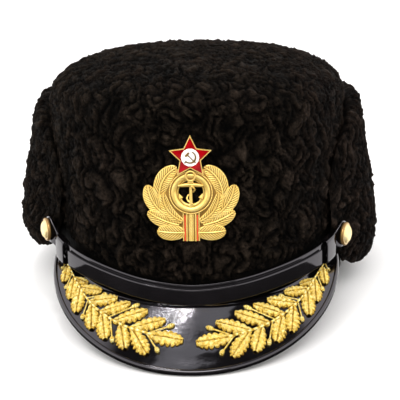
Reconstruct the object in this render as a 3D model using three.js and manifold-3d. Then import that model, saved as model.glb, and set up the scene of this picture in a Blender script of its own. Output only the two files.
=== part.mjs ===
// Naval peaked cap in black karakul fur, in millimetres, +Z up, front towards -Y.
// Every piece is laid out in the cap's own frame: the rim plane is Z = 0 and X = 0 is
// the plane of symmetry. At the end the cap is tilted back as it rests on a table,
// on the front of its peak and the back of its folded flap.
import * as THREE from 'three';
import { mergeVertices } from 'three/addons/utils/BufferGeometryUtils.js';
import Module from 'manifold-3d';

const wasm = await Module();
wasm.setup();

// Clearances
const clearance = 0.3;
const enamelClearance = 0.12;

// Head opening and crown
const headHalfWidth = 83;
const headFrontReach = 104.5;
const headBackReach = 97.5;
const crownWall = 8;
const crownSideHeight = 104;
const crownDomeRise = 29.5;
const crownDomePower = 2.5;
const rimFrontDrop = 3.4;
const planPower = 2.2;
const crownSegments = 52;
const crownSideRows = 2;
const crownDomeRows = 6;

// Folded ear and nape flap
const flapTop = 105;
const flapFold = 2.5;
const flapBulge = 22;
const flapClearance = 0.5;
const flapFootShare = 0.6;
const flapCornerRun = 65;
const flapBackStations = 24;
const restFlattening = 1.4;

// Peak
const peakHalfWidth = 84.5;
const peakReach = 86.5;
const peakSetBack = 42.5;
const peakStart = headFrontReach - peakSetBack;
const peakRootInset = 3;
const peakEndHeight = 14.6;
const peakTipDrop = 25;
const peakDome = 17.1;
const peakDomePower = 1.3;
const peakThickness = 1.8;
const peakStations = 32;
const peakRows = 4;

// Rolled edge round the peak
const edgeGrip = 2.2;
const edgeWall = 0.6;

// Chin strap
const strapWidth = 9.2;
const strapThickness = 1.3;
const strapFrontHeight = 0.8;
const strapRise = 15.7;
const strapRisePower = 1.4;
const strapStep = 2.6;
const strapStepUp = 2.4;
const strapStepStart = 0.45;
const strapStations = 24;
const outerStrapEnd = 47;
const keeperAngle = 52;
const keeperWidth = 10.4;
const keeperThickness = 0.9;

// Buttons, at both ends of the strap
const buttonRadius = 7;
const buttonDepth = 4.4;
const buttonStandOff = 9.2;
const buttonSegments = 14;
const strapTabRadius = 7.8;

// The strap's two ends sit a little unevenly. angle is measured from the front.
const strapEnds = {
  left: { sign: -1, angle: 59.7, height: 31.6 },
  right: { sign: 1, angle: 59.6, height: 28.2 },
};

// Oak sprays embroidered on the peak
const sprayGap = 0.4;
const oakLeafWidth = 8.6;
const oakLeafRidge = 1.7;
const oakLeafEdge = 0.8;
const sprayStemWidth = 1.3;
const sprayStemRidge = 2;
const sprayStemOverlap = 0.04;
const acornWidth = 2.4;
const acornStalkWidth = 0.7;

// Badge on the front of the crown, measured from the centre of its ring
const badgeHeight = 65.4;
const badgeBend = 0.003;
const ringOuter = 12.2;
const ringInner = 8.4;
const ringRelief = 3.3;
const anchorOpening = 6.6;
const anchorRelief = 2.2;
const shackleRadius = 3.3;
const shackleHole = 1.9;
const shackleRise = 9.6;
const shackleRelief = 3.5;
const badgePlate = 1.1;
const ringSegments = 26;
const reliefSegments = 7;
const badgeBottom = 27.2;
const bandTop = 11.3;
const bandHalfWidth = 4.7;
const stripeInset = 2.9;
const stripeTop = 12.6;
const stripeWidth = 0.7;
const stripeHeight = 1.85;
const starRise = 19.9;
const starRadius = 12.1;
const starNotchRadius = 6;
const starBack = 2.3;
const starPlate = 0.7;
const starRimWidth = 0.45;
const starRimHeight = 0.6;
const roundelRadius = 4.9;
const roundelHeight = 0.55;
const emblemRelief = 0.35;

// Plan of the crown

function planAngle(frontAngle) {
  return THREE.MathUtils.degToRad(90 - frontAngle);
}

// A point of the crown's plan, spread outwards by offset. The angle runs from 0 at the
// right side over 90 degrees at the front to 180 at the left and 270 at the back.
function planPoint(angle, offset, share = 1) {
  const c = Math.cos(angle);
  const s = Math.sin(angle);
  const reach = s > 0 ? headFrontReach : headBackReach;
  const x = (headHalfWidth + offset) * Math.sign(c) * Math.abs(c) ** (2 / planPower);
  const y = -(reach + offset) * Math.sign(s) * Math.abs(s) ** (2 / planPower);
  return new THREE.Vector2(x * share, y * share);
}

// The plan angle at which the crown's outside reaches a distance forward of its middle
function angleAtReach(forward) {
  return Math.asin((forward / (headFrontReach + crownWall)) ** (planPower / 2));
}

// The outward direction of the crown's wall
function planNormal(angle, offset) {
  const step = 0.002;
  const before = planPoint(angle - step, offset);
  const after = planPoint(angle + step, offset);
  const along = after.sub(before).normalize();
  return new THREE.Vector2(-along.y, along.x);
}

function wallPoint(angle, standOff, z) {
  const base = planPoint(angle, crownWall);
  const out = planNormal(angle, crownWall);
  return new THREE.Vector3(base.x + out.x * standOff, base.y + out.y * standOff, z);
}

// The rim dips towards the front, where the peak is sewn on
function rimHeight(y) {
  return -rimFrontDrop * THREE.MathUtils.clamp(-y / headFrontReach, 0, 1);
}

// Closed meshes

function signedVolume(points, faces) {
  let volume = 0;
  for (const [a, b, c] of faces) {
    volume += points[a].dot(new THREE.Vector3().crossVectors(points[b], points[c]));
  }
  return volume / 6;
}

function closedGeometry(points, faces) {
  const outward = signedVolume(points, faces) > 0;
  const index = faces.flatMap(([a, b, c]) => (outward ? [a, b, c] : [a, c, b]));
  const geometry = new THREE.BufferGeometry();
  geometry.setAttribute('position', new THREE.Float32BufferAttribute(
    points.flatMap((p) => [p.x, p.y, p.z]), 3));
  geometry.setIndex(index);
  return geometry;
}

// The triangles that close a flat ring of points, which may be hollowed on one side
function flatCap(ring) {
  const normal = new THREE.Vector3();
  for (let i = 0; i < ring.length; i += 1) {
    normal.add(new THREE.Vector3().crossVectors(ring[i], ring[(i + 1) % ring.length]));
  }
  const turn = new THREE.Quaternion().setFromUnitVectors(
    normal.normalize(), new THREE.Vector3(0, 0, 1));
  const flat = ring.map((p) => {
    const turned = p.clone().applyQuaternion(turn);
    return new THREE.Vector2(turned.x, turned.y);
  });
  return THREE.ShapeUtils.triangulateShape(flat, []);
}

// Joins closed rings of points one after the other, and closes both ends
function loft(rings) {
  const count = rings[0].length;
  const points = rings.flat();
  const faces = [];
  for (let r = 0; r + 1 < rings.length; r += 1) {
    for (let i = 0; i < count; i += 1) {
      const j = (i + 1) % count;
      const a = r * count + i;
      const b = r * count + j;
      faces.push([a, b, b + count], [a, b + count, a + count]);
    }
  }
  const last = (rings.length - 1) * count;
  for (const [a, b, c] of flatCap(rings[0])) {
    faces.push([a, c, b]);
  }
  for (const [a, b, c] of flatCap(rings[rings.length - 1])) {
    faces.push([last + a, last + b, last + c]);
  }
  return closedGeometry(points, faces);
}

// Joins rings of points into a closed loop, for a piece that bends round on itself
function loopLoft(rings) {
  const count = rings[0].length;
  const points = rings.flat();
  const faces = [];
  for (let r = 0; r < rings.length; r += 1) {
    const next = (r + 1) % rings.length;
    for (let i = 0; i < count; i += 1) {
      const j = (i + 1) % count;
      const a = r * count + i;
      const b = r * count + j;
      const c = next * count + j;
      const d = next * count + i;
      faces.push([a, b, c], [a, c, d]);
    }
  }
  return closedGeometry(points, faces);
}

// The bare mesh of a geometry, with the points that its faces share merged
function welded(geometry) {
  const bare = geometry.clone();
  bare.deleteAttribute('normal');
  bare.deleteAttribute('uv');
  return mergeVertices(bare, 1e-4);
}

function solidOf(geometry) {
  const mesh = welded(geometry);
  return new wasm.Manifold(new wasm.Mesh({
    numProp: 3,
    vertProperties: new Float32Array(mesh.attributes.position.array),
    triVerts: new Uint32Array(mesh.index.array),
  }));
}

function geometryOf(solid) {
  const mesh = solid.getMesh();
  const geometry = new THREE.BufferGeometry();
  geometry.setAttribute('position', new THREE.Float32BufferAttribute(mesh.vertProperties, 3));
  geometry.setIndex(Array.from(mesh.triVerts));
  return geometry;
}

function fuse(geometries) {
  let solid = solidOf(geometries[0]);
  for (const geometry of geometries.slice(1)) {
    solid = solid.add(solidOf(geometry));
  }
  return solid;
}

// Moves every point of a mesh by a function, and keeps its faces pointing out
function warp(geometry, place) {
  const mesh = welded(geometry);
  const { position } = mesh.attributes;
  const index = mesh.index.array;
  const points = [];
  for (let i = 0; i < position.count; i += 1) {
    points.push(place(new THREE.Vector3().fromBufferAttribute(position, i)));
  }
  const faces = [];
  for (let i = 0; i < index.length; i += 3) {
    faces.push([index[i], index[i + 1], index[i + 2]]);
  }
  return closedGeometry(points, faces);
}

// Crown: one shell, from the top of the lining down over the rim and up to the top

function crownRing(offset, height, share) {
  return Array.from({ length: crownSegments }, (_, i) => {
    const angle = (i / crownSegments) * 2 * Math.PI;
    const plan = planPoint(angle, offset, share);
    const z = height > 0 ? height : rimHeight(plan.y);
    return new THREE.Vector3(plan.x, plan.y, z);
  });
}

function crownSide(offset, rise) {
  const rows = [];
  for (let i = 0; i < crownSideRows; i += 1) {
    rows.push(crownRing(offset, (crownSideHeight * i) / crownSideRows, 1));
  }
  for (let i = 0; i < crownDomeRows; i += 1) {
    const turn = (i / crownDomeRows) * (Math.PI / 2);
    const up = Math.sin(turn) ** (2 / crownDomePower);
    const across = Math.cos(turn) ** (2 / crownDomePower);
    rows.push(crownRing(offset, crownSideHeight + rise * up, across));
  }
  return rows;
}

function crownGeometry() {
  const inside = crownSide(0, crownDomeRise - crownWall).reverse();
  const outside = crownSide(crownWall, crownDomeRise);
  return loft([...inside, ...outside]);
}

// Flap: a padded band folded up round the sides and back

// Section of the flap, as shares of its height and of its bulge
const flapSection = [
  { up: 0.05, out: 0 },
  { up: 0.5, out: 0 },
  { up: 0.96, out: 0 },
  { up: 1, out: 0.2 },
  { up: 0.985, out: 0.4 },
  { up: 0.93, out: 0.5 },
  { up: 0.82, out: 0.58 },
  { up: 0.68, out: 0.68 },
  { up: 0.5, out: 0.84 },
  { up: 0.32, out: 0.96 },
  { up: 0.2, out: 0.97 },
  { up: 0.1, out: 0.87 },
  { up: 0.03, out: 0.68 },
  { up: 0, out: 0.45 },
  { up: 0.01, out: 0.2 },
];

// Rounded front corner of the flap. run is a share of the corner's run forward of the
// middle, low and high are shares of the flap's height, thick is a share of its bulge.
const flapCorner = [
  { run: 1, low: 0.33, high: 0.488, thick: 0.1 },
  { run: 0.97, low: 0.275, high: 0.6, thick: 0.17 },
  { run: 0.92, low: 0.225, high: 0.684, thick: 0.23 },
  { run: 0.83, low: 0.172, high: 0.757, thick: 0.3 },
  { run: 0.72, low: 0.13, high: 0.8, thick: 0.47 },
  { run: 0.55, low: 0.085, high: 0.865, thick: 0.76 },
  { run: 0.34, low: 0.042, high: 0.938, thick: 0.95 },
  { run: 0.14, low: 0.012, high: 0.985, thick: 1 },
];

// Towards the front the left-hand half is lifted and the right-hand half hangs lower. hang
// is a share of the flap's height, and start and end are distances forward of the middle.
const flapHang = { left: 0.085, right: -0.03, start: -55, end: 20 };

function flapSag(angle) {
  const forward = -planPoint(angle, crownWall).y;
  const hang = Math.cos(angle) < 0 ? flapHang.left : flapHang.right;
  return hang * THREE.MathUtils.smoothstep(forward, flapHang.start, flapHang.end);
}

function flapStation(angle, row) {
  const height = flapTop + flapFold;
  const low = -flapFold + height * (row.low + flapSag(angle));
  const high = -flapFold + height * row.high;
  return flapSection.map(({ up, out }) => {
    const z = low + (high - low) * up;
    return wallPoint(angle, flapClearance + out * flapBulge * row.thick, z);
  });
}

function flapStations() {
  const rings = [];
  for (const row of flapCorner) {
    rings.push(flapStation(Math.PI - angleAtReach(row.run * flapCornerRun), row));
  }
  const full = { run: 0, low: 0, high: 1, thick: 1 };
  for (let i = 0; i <= flapBackStations; i += 1) {
    rings.push(flapStation(Math.PI + (Math.PI * i) / flapBackStations, full));
  }
  for (const row of [...flapCorner].reverse()) {
    rings.push(flapStation(2 * Math.PI + angleAtReach(row.run * flapCornerRun), row));
  }
  return rings;
}

// Peak: a shallow dome over a sloping plane, cut to half an ellipse

const peakSlope = Math.atan2(peakEndHeight + peakTipDrop, peakReach);
const peakLength = Math.hypot(peakEndHeight + peakTipDrop, peakReach);
const peakForward = new THREE.Vector3(0, -Math.cos(peakSlope), -Math.sin(peakSlope));
const peakUp = new THREE.Vector3(0, -Math.sin(peakSlope), Math.cos(peakSlope));
const peakOrigin = new THREE.Vector3(0, -peakStart, peakEndHeight);

// Height of the peak's top over the plane of its edge
function peakRise(x, forward) {
  const radius = Math.hypot(x / peakHalfWidth, forward / peakLength);
  return peakDome * (1 - radius ** peakDomePower);
}

function peakPoint(x, forward, height) {
  return new THREE.Vector3(x, 0, 0)
    .add(peakOrigin)
    .addScaledVector(peakForward, forward)
    .addScaledVector(peakUp, peakRise(x, forward) + height);
}

// The distance forward at which the peak's top is a given distance ahead of the middle
function forwardAt(x, ahead) {
  const passes = 12;
  let forward = 0;
  for (let i = 0; i < passes; i += 1) {
    const lift = peakRise(x, forward) * Math.sin(peakSlope);
    forward = (ahead - peakStart - lift) / Math.cos(peakSlope);
  }
  return forward;
}

const peakRootAngle = angleAtReach(peakStart + peakRootInset);

// A place on the peak. along is -1 at its left end, 0 at the front and 1 at its right
// end, across is 0 at the crown and 1 at the edge. x and y are the flat coordinates.
function peakPlace(along, across) {
  const side = along < 0 ? -1 : 1;
  const turn = 1 - Math.abs(along);
  const rootAngle = peakRootAngle + (Math.PI / 2 - peakRootAngle) * turn;
  const root = wallPoint(rootAngle, clearance, 0);
  const rootForward = forwardAt(root.x, -root.y);
  const edgeAngle = (Math.PI / 2) * turn;
  const edgeX = peakHalfWidth * Math.cos(edgeAngle);
  const edgeForward = peakLength * Math.sin(edgeAngle);
  return new THREE.Vector2(
    side * (root.x + (edgeX - root.x) * across),
    rootForward + (edgeForward - rootForward) * across,
  );
}

function peakGeometry() {
  const plumb = peakThickness * Math.tan(peakSlope);
  const rings = [];
  for (let i = 0; i <= peakStations; i += 1) {
    const along = -1 + (2 * i) / peakStations;
    const top = [];
    const bottom = [];
    for (let j = 0; j <= peakRows; j += 1) {
      const across = j / peakRows;
      const place = peakPlace(along, across);
      const under = peakPoint(place.x, place.y, -peakThickness);
      top.push(peakPoint(place.x, place.y, 0));
      bottom.unshift(under.addScaledVector(peakForward, plumb * (1 - across)));
    }
    rings.push([...top, ...bottom]);
  }
  return loft(rings);
}

// Rolled edge: a channel that grips the peak's edge

function edgeGeometry() {
  const inner = edgeWall + clearance;
  const section = [
    { out: -edgeGrip, up: clearance },
    { out: clearance, up: clearance },
    { out: clearance, up: -peakThickness - clearance },
    { out: -edgeGrip, up: -peakThickness - clearance },
    { out: -edgeGrip, up: -peakThickness - inner },
    { out: clearance, up: -peakThickness - inner },
    { out: inner, up: -peakThickness },
    { out: inner, up: 0 },
    { out: clearance, up: inner },
    { out: -edgeGrip, up: inner },
  ];
  const rings = [];
  for (let i = 0; i <= peakStations; i += 1) {
    const angle = Math.PI * (1 - i / peakStations);
    const x = peakHalfWidth * Math.cos(angle);
    const forward = peakLength * Math.sin(angle);
    const out = new THREE.Vector2(Math.cos(angle) / peakHalfWidth, Math.sin(angle) / peakLength);
    const slope = peakDome * peakDomePower * out.length();
    out.normalize();
    rings.push(section.map((p) => new THREE.Vector3(x + out.x * p.out, 0, 0)
      .add(peakOrigin)
      .addScaledVector(peakForward, forward + out.y * p.out)
      .addScaledVector(peakUp, p.up - slope * p.out)));
  }
  return loft(rings);
}

// Chin strap: an inner strap from button to button and an outer one between the keepers

function strapLow(frontAngle) {
  return strapFrontHeight + strapRise * (Math.abs(frontAngle) / keeperAngle) ** strapRisePower;
}

function strapStandOff(frontAngle) {
  const start = keeperAngle * strapStepStart;
  const past = THREE.MathUtils.smoothstep(Math.abs(frontAngle), start, keeperAngle);
  return clearance + (clearance + keeperThickness + strapStep) * past;
}

function strapRing(frontAngle, standOff, low, high) {
  const angle = planAngle(frontAngle);
  return [
    wallPoint(angle, standOff, low),
    wallPoint(angle, standOff + strapThickness, low),
    wallPoint(angle, standOff + strapThickness, high),
    wallPoint(angle, standOff, high),
  ];
}

// End of the inner strap, from the keeper to past the button. turn, up and out are
// shares of the way from the keeper to the button, half is a share of the tab's radius.
const strapTab = [
  { turn: 0.4, up: 0.01, out: 0.01, half: 0.66 },
  { turn: 0.54, up: 0.3, out: 0.3, half: 0.64 },
  { turn: 0.72, up: 0.72, out: 0.72, half: 0.78 },
  { turn: 0.88, up: 0.96, out: 0.96, half: 0.97 },
  { turn: 1, up: 1, out: 1, half: 1 },
  { turn: 1.25, up: 1.02, out: 1.06, half: 0.86 },
  { turn: 1.42, up: 1.02, out: 1.1, half: 0.6 },
  { turn: 1.52, up: 1.02, out: 1.12, half: 0.22 },
];

function innerStrapGeometry() {
  const tabBase = strapStandOff(keeperAngle);
  const tabSeat = buttonStandOff - clearance - strapThickness;
  const middle = strapLow(keeperAngle) + strapStepUp + strapWidth / 2;
  const tab = ({ sign, angle, height }) => strapTab.map(({ turn, up, out, half }) => {
    const frontAngle = sign * (keeperAngle + (angle - keeperAngle) * turn);
    const centre = middle + (height - middle) * up;
    const standOff = tabBase + (tabSeat - tabBase) * out;
    const reach = strapTabRadius * half;
    return strapRing(frontAngle, standOff, centre - reach, centre + reach);
  });
  const run = [];
  for (let i = 0; i <= strapStations; i += 1) {
    const frontAngle = keeperAngle * (-1 + (2 * i) / strapStations);
    const low = strapLow(frontAngle) + strapStepUp;
    run.push(strapRing(frontAngle, strapStandOff(frontAngle), low, low + strapWidth));
  }
  return loft([...tab(strapEnds.left).reverse(), ...run, ...tab(strapEnds.right)]);
}

function outerStrapGeometry() {
  const ring = (frontAngle) => {
    const low = strapLow(frontAngle);
    const standOff = strapStandOff(frontAngle) + strapThickness + clearance;
    return strapRing(frontAngle, standOff, low, low + strapWidth);
  };
  const rings = [];
  for (let i = 1; i < strapStations; i += 1) {
    rings.push(ring(outerStrapEnd * (-1 + (2 * i) / strapStations)));
  }
  return loft([ring(-outerStrapEnd), ...rings, ring(outerStrapEnd)]);
}

// A keeper is a flat loop round the inner strap
function keeperGeometry(side) {
  const turn = THREE.MathUtils.radToDeg(keeperWidth / 2 / headFrontReach);
  const depth = 2 * strapThickness + 2 * clearance;
  const height = strapWidth + strapStepUp + clearance;
  const corners = [
    { out: -clearance, up: -clearance, growOut: -1, growUp: -1 },
    { out: depth, up: -clearance, growOut: 1, growUp: -1 },
    { out: depth, up: height, growOut: 1, growUp: 1 },
    { out: -clearance, up: height, growOut: -1, growUp: 1 },
  ];
  const ends = [
    { turn: -turn, thick: 0 },
    { turn, thick: 0 },
    { turn, thick: keeperThickness },
    { turn: -turn, thick: keeperThickness },
  ];
  return loopLoft(corners.map((corner) => ends.map((end) => {
    const frontAngle = keeperAngle + end.turn;
    const standOff = strapStandOff(frontAngle) + corner.out + corner.growOut * end.thick;
    const z = strapLow(frontAngle) + corner.up + corner.growUp * end.thick;
    return wallPoint(planAngle(side * frontAngle), standOff, z);
  })));
}

// Buttons: a domed shell with a rounded rim

const buttonProfile = [
  { radius: 0, depth: 0 },
  { radius: 0.86, depth: 0 },
  { radius: 1, depth: 0.16 },
  { radius: 1, depth: 0.38 },
  { radius: 0.9, depth: 0.5 },
  { radius: 0.8, depth: 0.46 },
  { radius: 0.66, depth: 0.74 },
  { radius: 0.36, depth: 0.94 },
  { radius: 0, depth: 1 },
];

function buttonMesh(name, end, material) {
  const profile = buttonProfile.map((p) => new THREE.Vector2(
    p.radius * buttonRadius, p.depth * buttonDepth));
  const geometry = new THREE.LatheGeometry(profile, buttonSegments);
  const angle = planAngle(end.sign * end.angle);
  const out = planNormal(angle, crownWall);
  const button = new THREE.Mesh(geometry, material);
  button.name = name;
  button.position.copy(wallPoint(angle, buttonStandOff, end.height));
  button.quaternion.setFromUnitVectors(
    new THREE.Vector3(0, 1, 0), new THREE.Vector3(out.x, out.y, 0));
  return button;
}

// Relief shapes, drawn flat with x across, y up and z out of the surface

function curvedSpine(from, to, bend, t) {
  const along = new THREE.Vector2().subVectors(to, from);
  const across = new THREE.Vector2(-along.y, along.x);
  return new THREE.Vector2().copy(from)
    .addScaledVector(along, t)
    .addScaledVector(across, bend * 4 * t * (1 - t));
}

// A low ridge-backed shape along a spine. widths lists its half widths from end to end.
function ridge(from, to, bend, widths, edgeHeight, ridgeHeight) {
  const last = widths.length - 1;
  const step = 0.01;
  const endShare = 0.6;
  const rings = widths.map(({ t, half }, i) => {
    const centre = curvedSpine(from, to, bend, t);
    const before = curvedSpine(from, to, bend, t - step);
    const after = curvedSpine(from, to, bend, t + step);
    const along = after.sub(before).normalize();
    const side = new THREE.Vector2(-along.y, along.x).multiplyScalar(half);
    const share = i === 0 || i === last ? endShare : 1;
    return [
      new THREE.Vector3(centre.x - side.x, centre.y - side.y, 0),
      new THREE.Vector3(centre.x + side.x, centre.y + side.y, 0),
      new THREE.Vector3(centre.x + side.x, centre.y + side.y, edgeHeight),
      new THREE.Vector3(centre.x, centre.y, edgeHeight + (ridgeHeight - edgeHeight) * share),
      new THREE.Vector3(centre.x - side.x, centre.y - side.y, edgeHeight),
    ];
  });
  return loft(rings);
}

function extrude(shape, depth, lift = 0) {
  const geometry = new THREE.ExtrudeGeometry(shape, {
    depth, bevelEnabled: false, curveSegments: reliefSegments,
  });
  return geometry.translate(0, 0, lift);
}

function rectangle(left, bottom, width, height) {
  const shape = new THREE.Shape();
  shape.moveTo(left, bottom);
  shape.lineTo(left + width, bottom);
  shape.lineTo(left + width, bottom + height);
  shape.lineTo(left, bottom + height);
  shape.closePath();
  return shape;
}

// Oak sprays

// Half widths along an oak leaf: its lobes and the notches between them
const oakLeafOutline = [
  { t: 0, half: 0.12 },
  { t: 0.2, half: 0.7 },
  { t: 0.29, half: 0.54 },
  { t: 0.46, half: 1 },
  { t: 0.57, half: 0.74 },
  { t: 0.72, half: 0.9 },
  { t: 0.84, half: 0.6 },
  { t: 1, half: 0.2 },
];

const acornOutline = [
  { t: 0, half: 0.3 },
  { t: 0.7, half: 0.3 },
  { t: 0.76, half: 1 },
  { t: 1, half: 0.5 },
];

// Leaves and acorns of one spray. Each grows out of the stem at a, and its tip lies at
// toA and toB: a runs from the front towards the side, b from the crown to the edge.
const sprayLeaves = [
  { a: 0.775, toA: 0.672, toB: 0.14, size: 0.62 },
  { a: 0.7, toA: 0.55, toB: 0.12, size: 0.86 },
  { a: 0.58, toA: 0.43, toB: 0.12, size: 0.95 },
  { a: 0.485, toA: 0.338, toB: 0.14, size: 0.95 },
  { a: 0.392, toA: 0.225, toB: 0.205, size: 1 },
  { a: 0.294, toA: 0.12, toB: 0.32, size: 1 },
  { a: 0.19, toA: 0.028, toB: 0.615, size: 1.02 },
  { a: 0.89, toA: 0.795, toB: 0.7, size: 0.72 },
  { a: 0.778, toA: 0.678, toB: 0.77, size: 0.88 },
  { a: 0.686, toA: 0.598, toB: 0.85, size: 0.95 },
  { a: 0.555, toA: 0.477, toB: 0.88, size: 0.98 },
  { a: 0.47, toA: 0.392, toB: 0.89, size: 1 },
  { a: 0.348, toA: 0.288, toB: 0.895, size: 1 },
  { a: 0.28, toA: 0.184, toB: 0.874, size: 1.02 },
];

const sprayAcorns = [
  { a: 0.61, toA: 0.51, toB: 0.13 },
  { a: 0.433, toA: 0.284, toB: 0.13 },
  { a: 0.21, toA: 0.075, toB: 0.385 },
  { a: 0.816, toA: 0.752, toB: 0.75 },
  { a: 0.592, toA: 0.552, toB: 0.85 },
  { a: 0.41, toA: 0.354, toB: 0.875 },
  { a: 0.202, toA: 0.135, toB: 0.81 },
  { a: 0.925, toA: 0.885, toB: 0.6 },
];

const sprayStem = [
  { a: 0.93, b: 0.28 },
  { a: 0.784, b: 0.31 },
  { a: 0.7, b: 0.385 },
  { a: 0.6, b: 0.46 },
  { a: 0.5, b: 0.51 },
  { a: 0.4, b: 0.545 },
  { a: 0.3, b: 0.56 },
  { a: 0.17, b: 0.585 },
];

// The two sprays sit a little unevenly on the peak
const spraySides = {
  oak_spray_left: { sign: -1, a: 0.004, b: -0.036 },
  oak_spray_right: { sign: 1, a: -0.012, b: -0.004 },
};

// How far across the peak the stem lies at a
function stemAcross(a) {
  const next = sprayStem.findIndex((point) => point.a <= a);
  const from = sprayStem[Math.max(next, 1) - 1];
  const to = sprayStem[Math.max(next, 1)];
  return from.b + ((to.b - from.b) * (a - from.a)) / (to.a - from.a);
}

function sprayGeometry({ sign, a: shiftA, b: shiftB }) {
  const place = (a, b) => peakPlace(sign * (a + shiftA), b + shiftB * (1 - a));
  const shapes = sprayLeaves.map((leaf) => ridge(
    place(leaf.a, stemAcross(leaf.a)),
    place(leaf.toA, leaf.toB),
    0,
    oakLeafOutline.map(({ t, half }) => ({ t, half: (half * leaf.size * oakLeafWidth) / 2 })),
    oakLeafEdge,
    oakLeafRidge,
  ));
  for (const acorn of sprayAcorns) {
    shapes.push(ridge(
      place(acorn.a, stemAcross(acorn.a)),
      place(acorn.toA, acorn.toB),
      0,
      acornOutline.map(({ t, half }) => ({
        t,
        half: Math.max(half * acornWidth, acornStalkWidth) / 2,
      })),
      oakLeafEdge,
      oakLeafRidge,
    ));
  }
  const half = sprayStemWidth / 2;
  const stemWidths = [{ t: -sprayStemOverlap, half }, { t: 1 + sprayStemOverlap, half }];
  for (let i = 0; i + 1 < sprayStem.length; i += 1) {
    shapes.push(ridge(
      place(sprayStem[i].a, sprayStem[i].b),
      place(sprayStem[i + 1].a, sprayStem[i + 1].b),
      0, stemWidths, oakLeafEdge, sprayStemRidge));
  }
  const flat = geometryOf(fuse(shapes));
  return warp(flat, (p) => peakPoint(p.x, p.y, sprayGap + p.z));
}

// Badge

// The badge is bent a little to lie on the curved front
function onFront(lift) {
  return (p) => {
    const front = headFrontReach + crownWall + clearance;
    return new THREE.Vector3(
      p.x, -(front + lift + p.z) + badgeBend * p.x * p.x, badgeHeight + p.y);
  };
}

const wreathLeafOutline = [
  { t: 0, half: 0.45 },
  { t: 0.2, half: 0.8 },
  { t: 0.5, half: 1 },
  { t: 0.78, half: 0.84 },
  { t: 0.94, half: 0.48 },
  { t: 1, half: 0.18 },
];

// Leaves of the wreath's right half, as shares of the ring's outer radius, from the
// lowest layer up. thick is a share of the plate and ridge of the ring's relief.
const wreathLeaves = [
  { x: 1.42, y: -0.28, toX: 0.6, toY: 1.15, bend: -0.15, half: 0.37, ridge: 0.52 },
  { x: 1.12, y: -1.05, toX: 1.93, toY: 0.33, bend: -0.13, half: 0.36, ridge: 0.55 },
  { x: 0.55, y: -1.5, toX: 1.96, toY: -0.9, bend: -0.06, half: 0.35, ridge: 0.58 },
  { x: 0.3, y: -1.85, toX: 1.55, toY: -1.79, bend: -0.03, half: 0.38, ridge: 0.62 },
  { x: 0.4, y: -1.32, toX: 1.24, toY: 0, bend: -0.17, half: 0.26, ridge: 0.7 },
];

function wreathShapes() {
  const shapes = [];
  for (const side of [-1, 1]) {
    for (const leaf of wreathLeaves) {
      shapes.push(ridge(
        new THREE.Vector2(side * leaf.x, leaf.y).multiplyScalar(ringOuter),
        new THREE.Vector2(side * leaf.toX, leaf.toY).multiplyScalar(ringOuter),
        side * leaf.bend,
        wreathLeafOutline.map(({ t, half }) => ({ t, half: half * leaf.half * ringOuter })),
        badgePlate,
        ringRelief * leaf.ridge,
      ));
    }
  }
  return shapes;
}

// Section of the ring, outside its opening. relief is a share of the ring's relief.
const ringSection = [
  { radius: anchorOpening, relief: 0 },
  { radius: ringOuter, relief: 0 },
  { radius: ringOuter, relief: 0.55 },
  { radius: 11.5, relief: 0.9 },
  { radius: 10.5, relief: 1 },
  { radius: 9.3, relief: 0.86 },
  { radius: ringInner, relief: 0.5 },
  { radius: anchorOpening, relief: 0.4 },
  { radius: anchorOpening, relief: 0 },
];

function ringShape() {
  const profile = ringSection.map((p) => new THREE.Vector2(p.radius, p.relief * ringRelief));
  return new THREE.LatheGeometry(profile, ringSegments).rotateX(Math.PI / 2);
}

function shackleShape() {
  const shape = new THREE.Shape().absarc(0, 0, shackleRadius, 0, 2 * Math.PI);
  shape.holes.push(new THREE.Path().absarc(0, 0, shackleHole, 0, 2 * Math.PI, true));
  return extrude(shape, shackleRelief).translate(0, shackleRise, 0);
}

// Stock and shank of the anchor, its arms' reach and its fluke's corners, as shares of
// the ring's opening
const anchorBars = [
  { left: -1.02, bottom: 0.4, width: 2.04, height: 0.36 },
  { left: -0.15, bottom: -1.2, width: 0.3, height: 2.5 },
];
const anchorArms = { outer: 1.1, inner: 0.8, from: 1.12 * Math.PI, to: 1.88 * Math.PI };
const anchorFluke = [
  { x: 1.08, y: -0.1 },
  { x: 0.62, y: -0.52 },
  { x: 1.05, y: -0.66 },
];

function anchorShapes() {
  const open = anchorOpening;
  const shapes = anchorBars.map((bar) => extrude(
    rectangle(bar.left * open, bar.bottom * open, bar.width * open, bar.height * open),
    anchorRelief));
  const arms = new THREE.Shape();
  arms.absarc(0, 0, open * anchorArms.outer, anchorArms.from, anchorArms.to);
  arms.absarc(0, 0, open * anchorArms.inner, anchorArms.to, anchorArms.from, true);
  shapes.push(extrude(arms, anchorRelief));
  for (const side of [-1, 1]) {
    const corners = anchorFluke.map(({ x, y }) => new THREE.Vector2(side * x, y).multiplyScalar(open));
    shapes.push(extrude(new THREE.Shape(corners), anchorRelief));
  }
  return shapes;
}

// Upright band below the ring, with ribs on both sides of each enamel stripe
const bandRibs = [
  { from: 0, to: 1.7, height: 2.05 },
  { from: 2, to: stripeInset, height: 2.3 },
  { from: stripeInset + stripeWidth + 2 * enamelClearance, to: bandHalfWidth, height: 2 },
];

function bandShapes() {
  const height = badgeBottom - bandTop;
  const plate = rectangle(-bandHalfWidth, -badgeBottom, 2 * bandHalfWidth, height);
  const shapes = [extrude(plate, badgePlate)];
  for (const side of [-1, 1]) {
    for (const rib of bandRibs) {
      const left = side > 0 ? rib.from : -rib.to;
      const shape = rectangle(left, -badgeBottom, rib.to - rib.from, height);
      shapes.push(extrude(shape, rib.height));
    }
  }
  return shapes;
}

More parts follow.
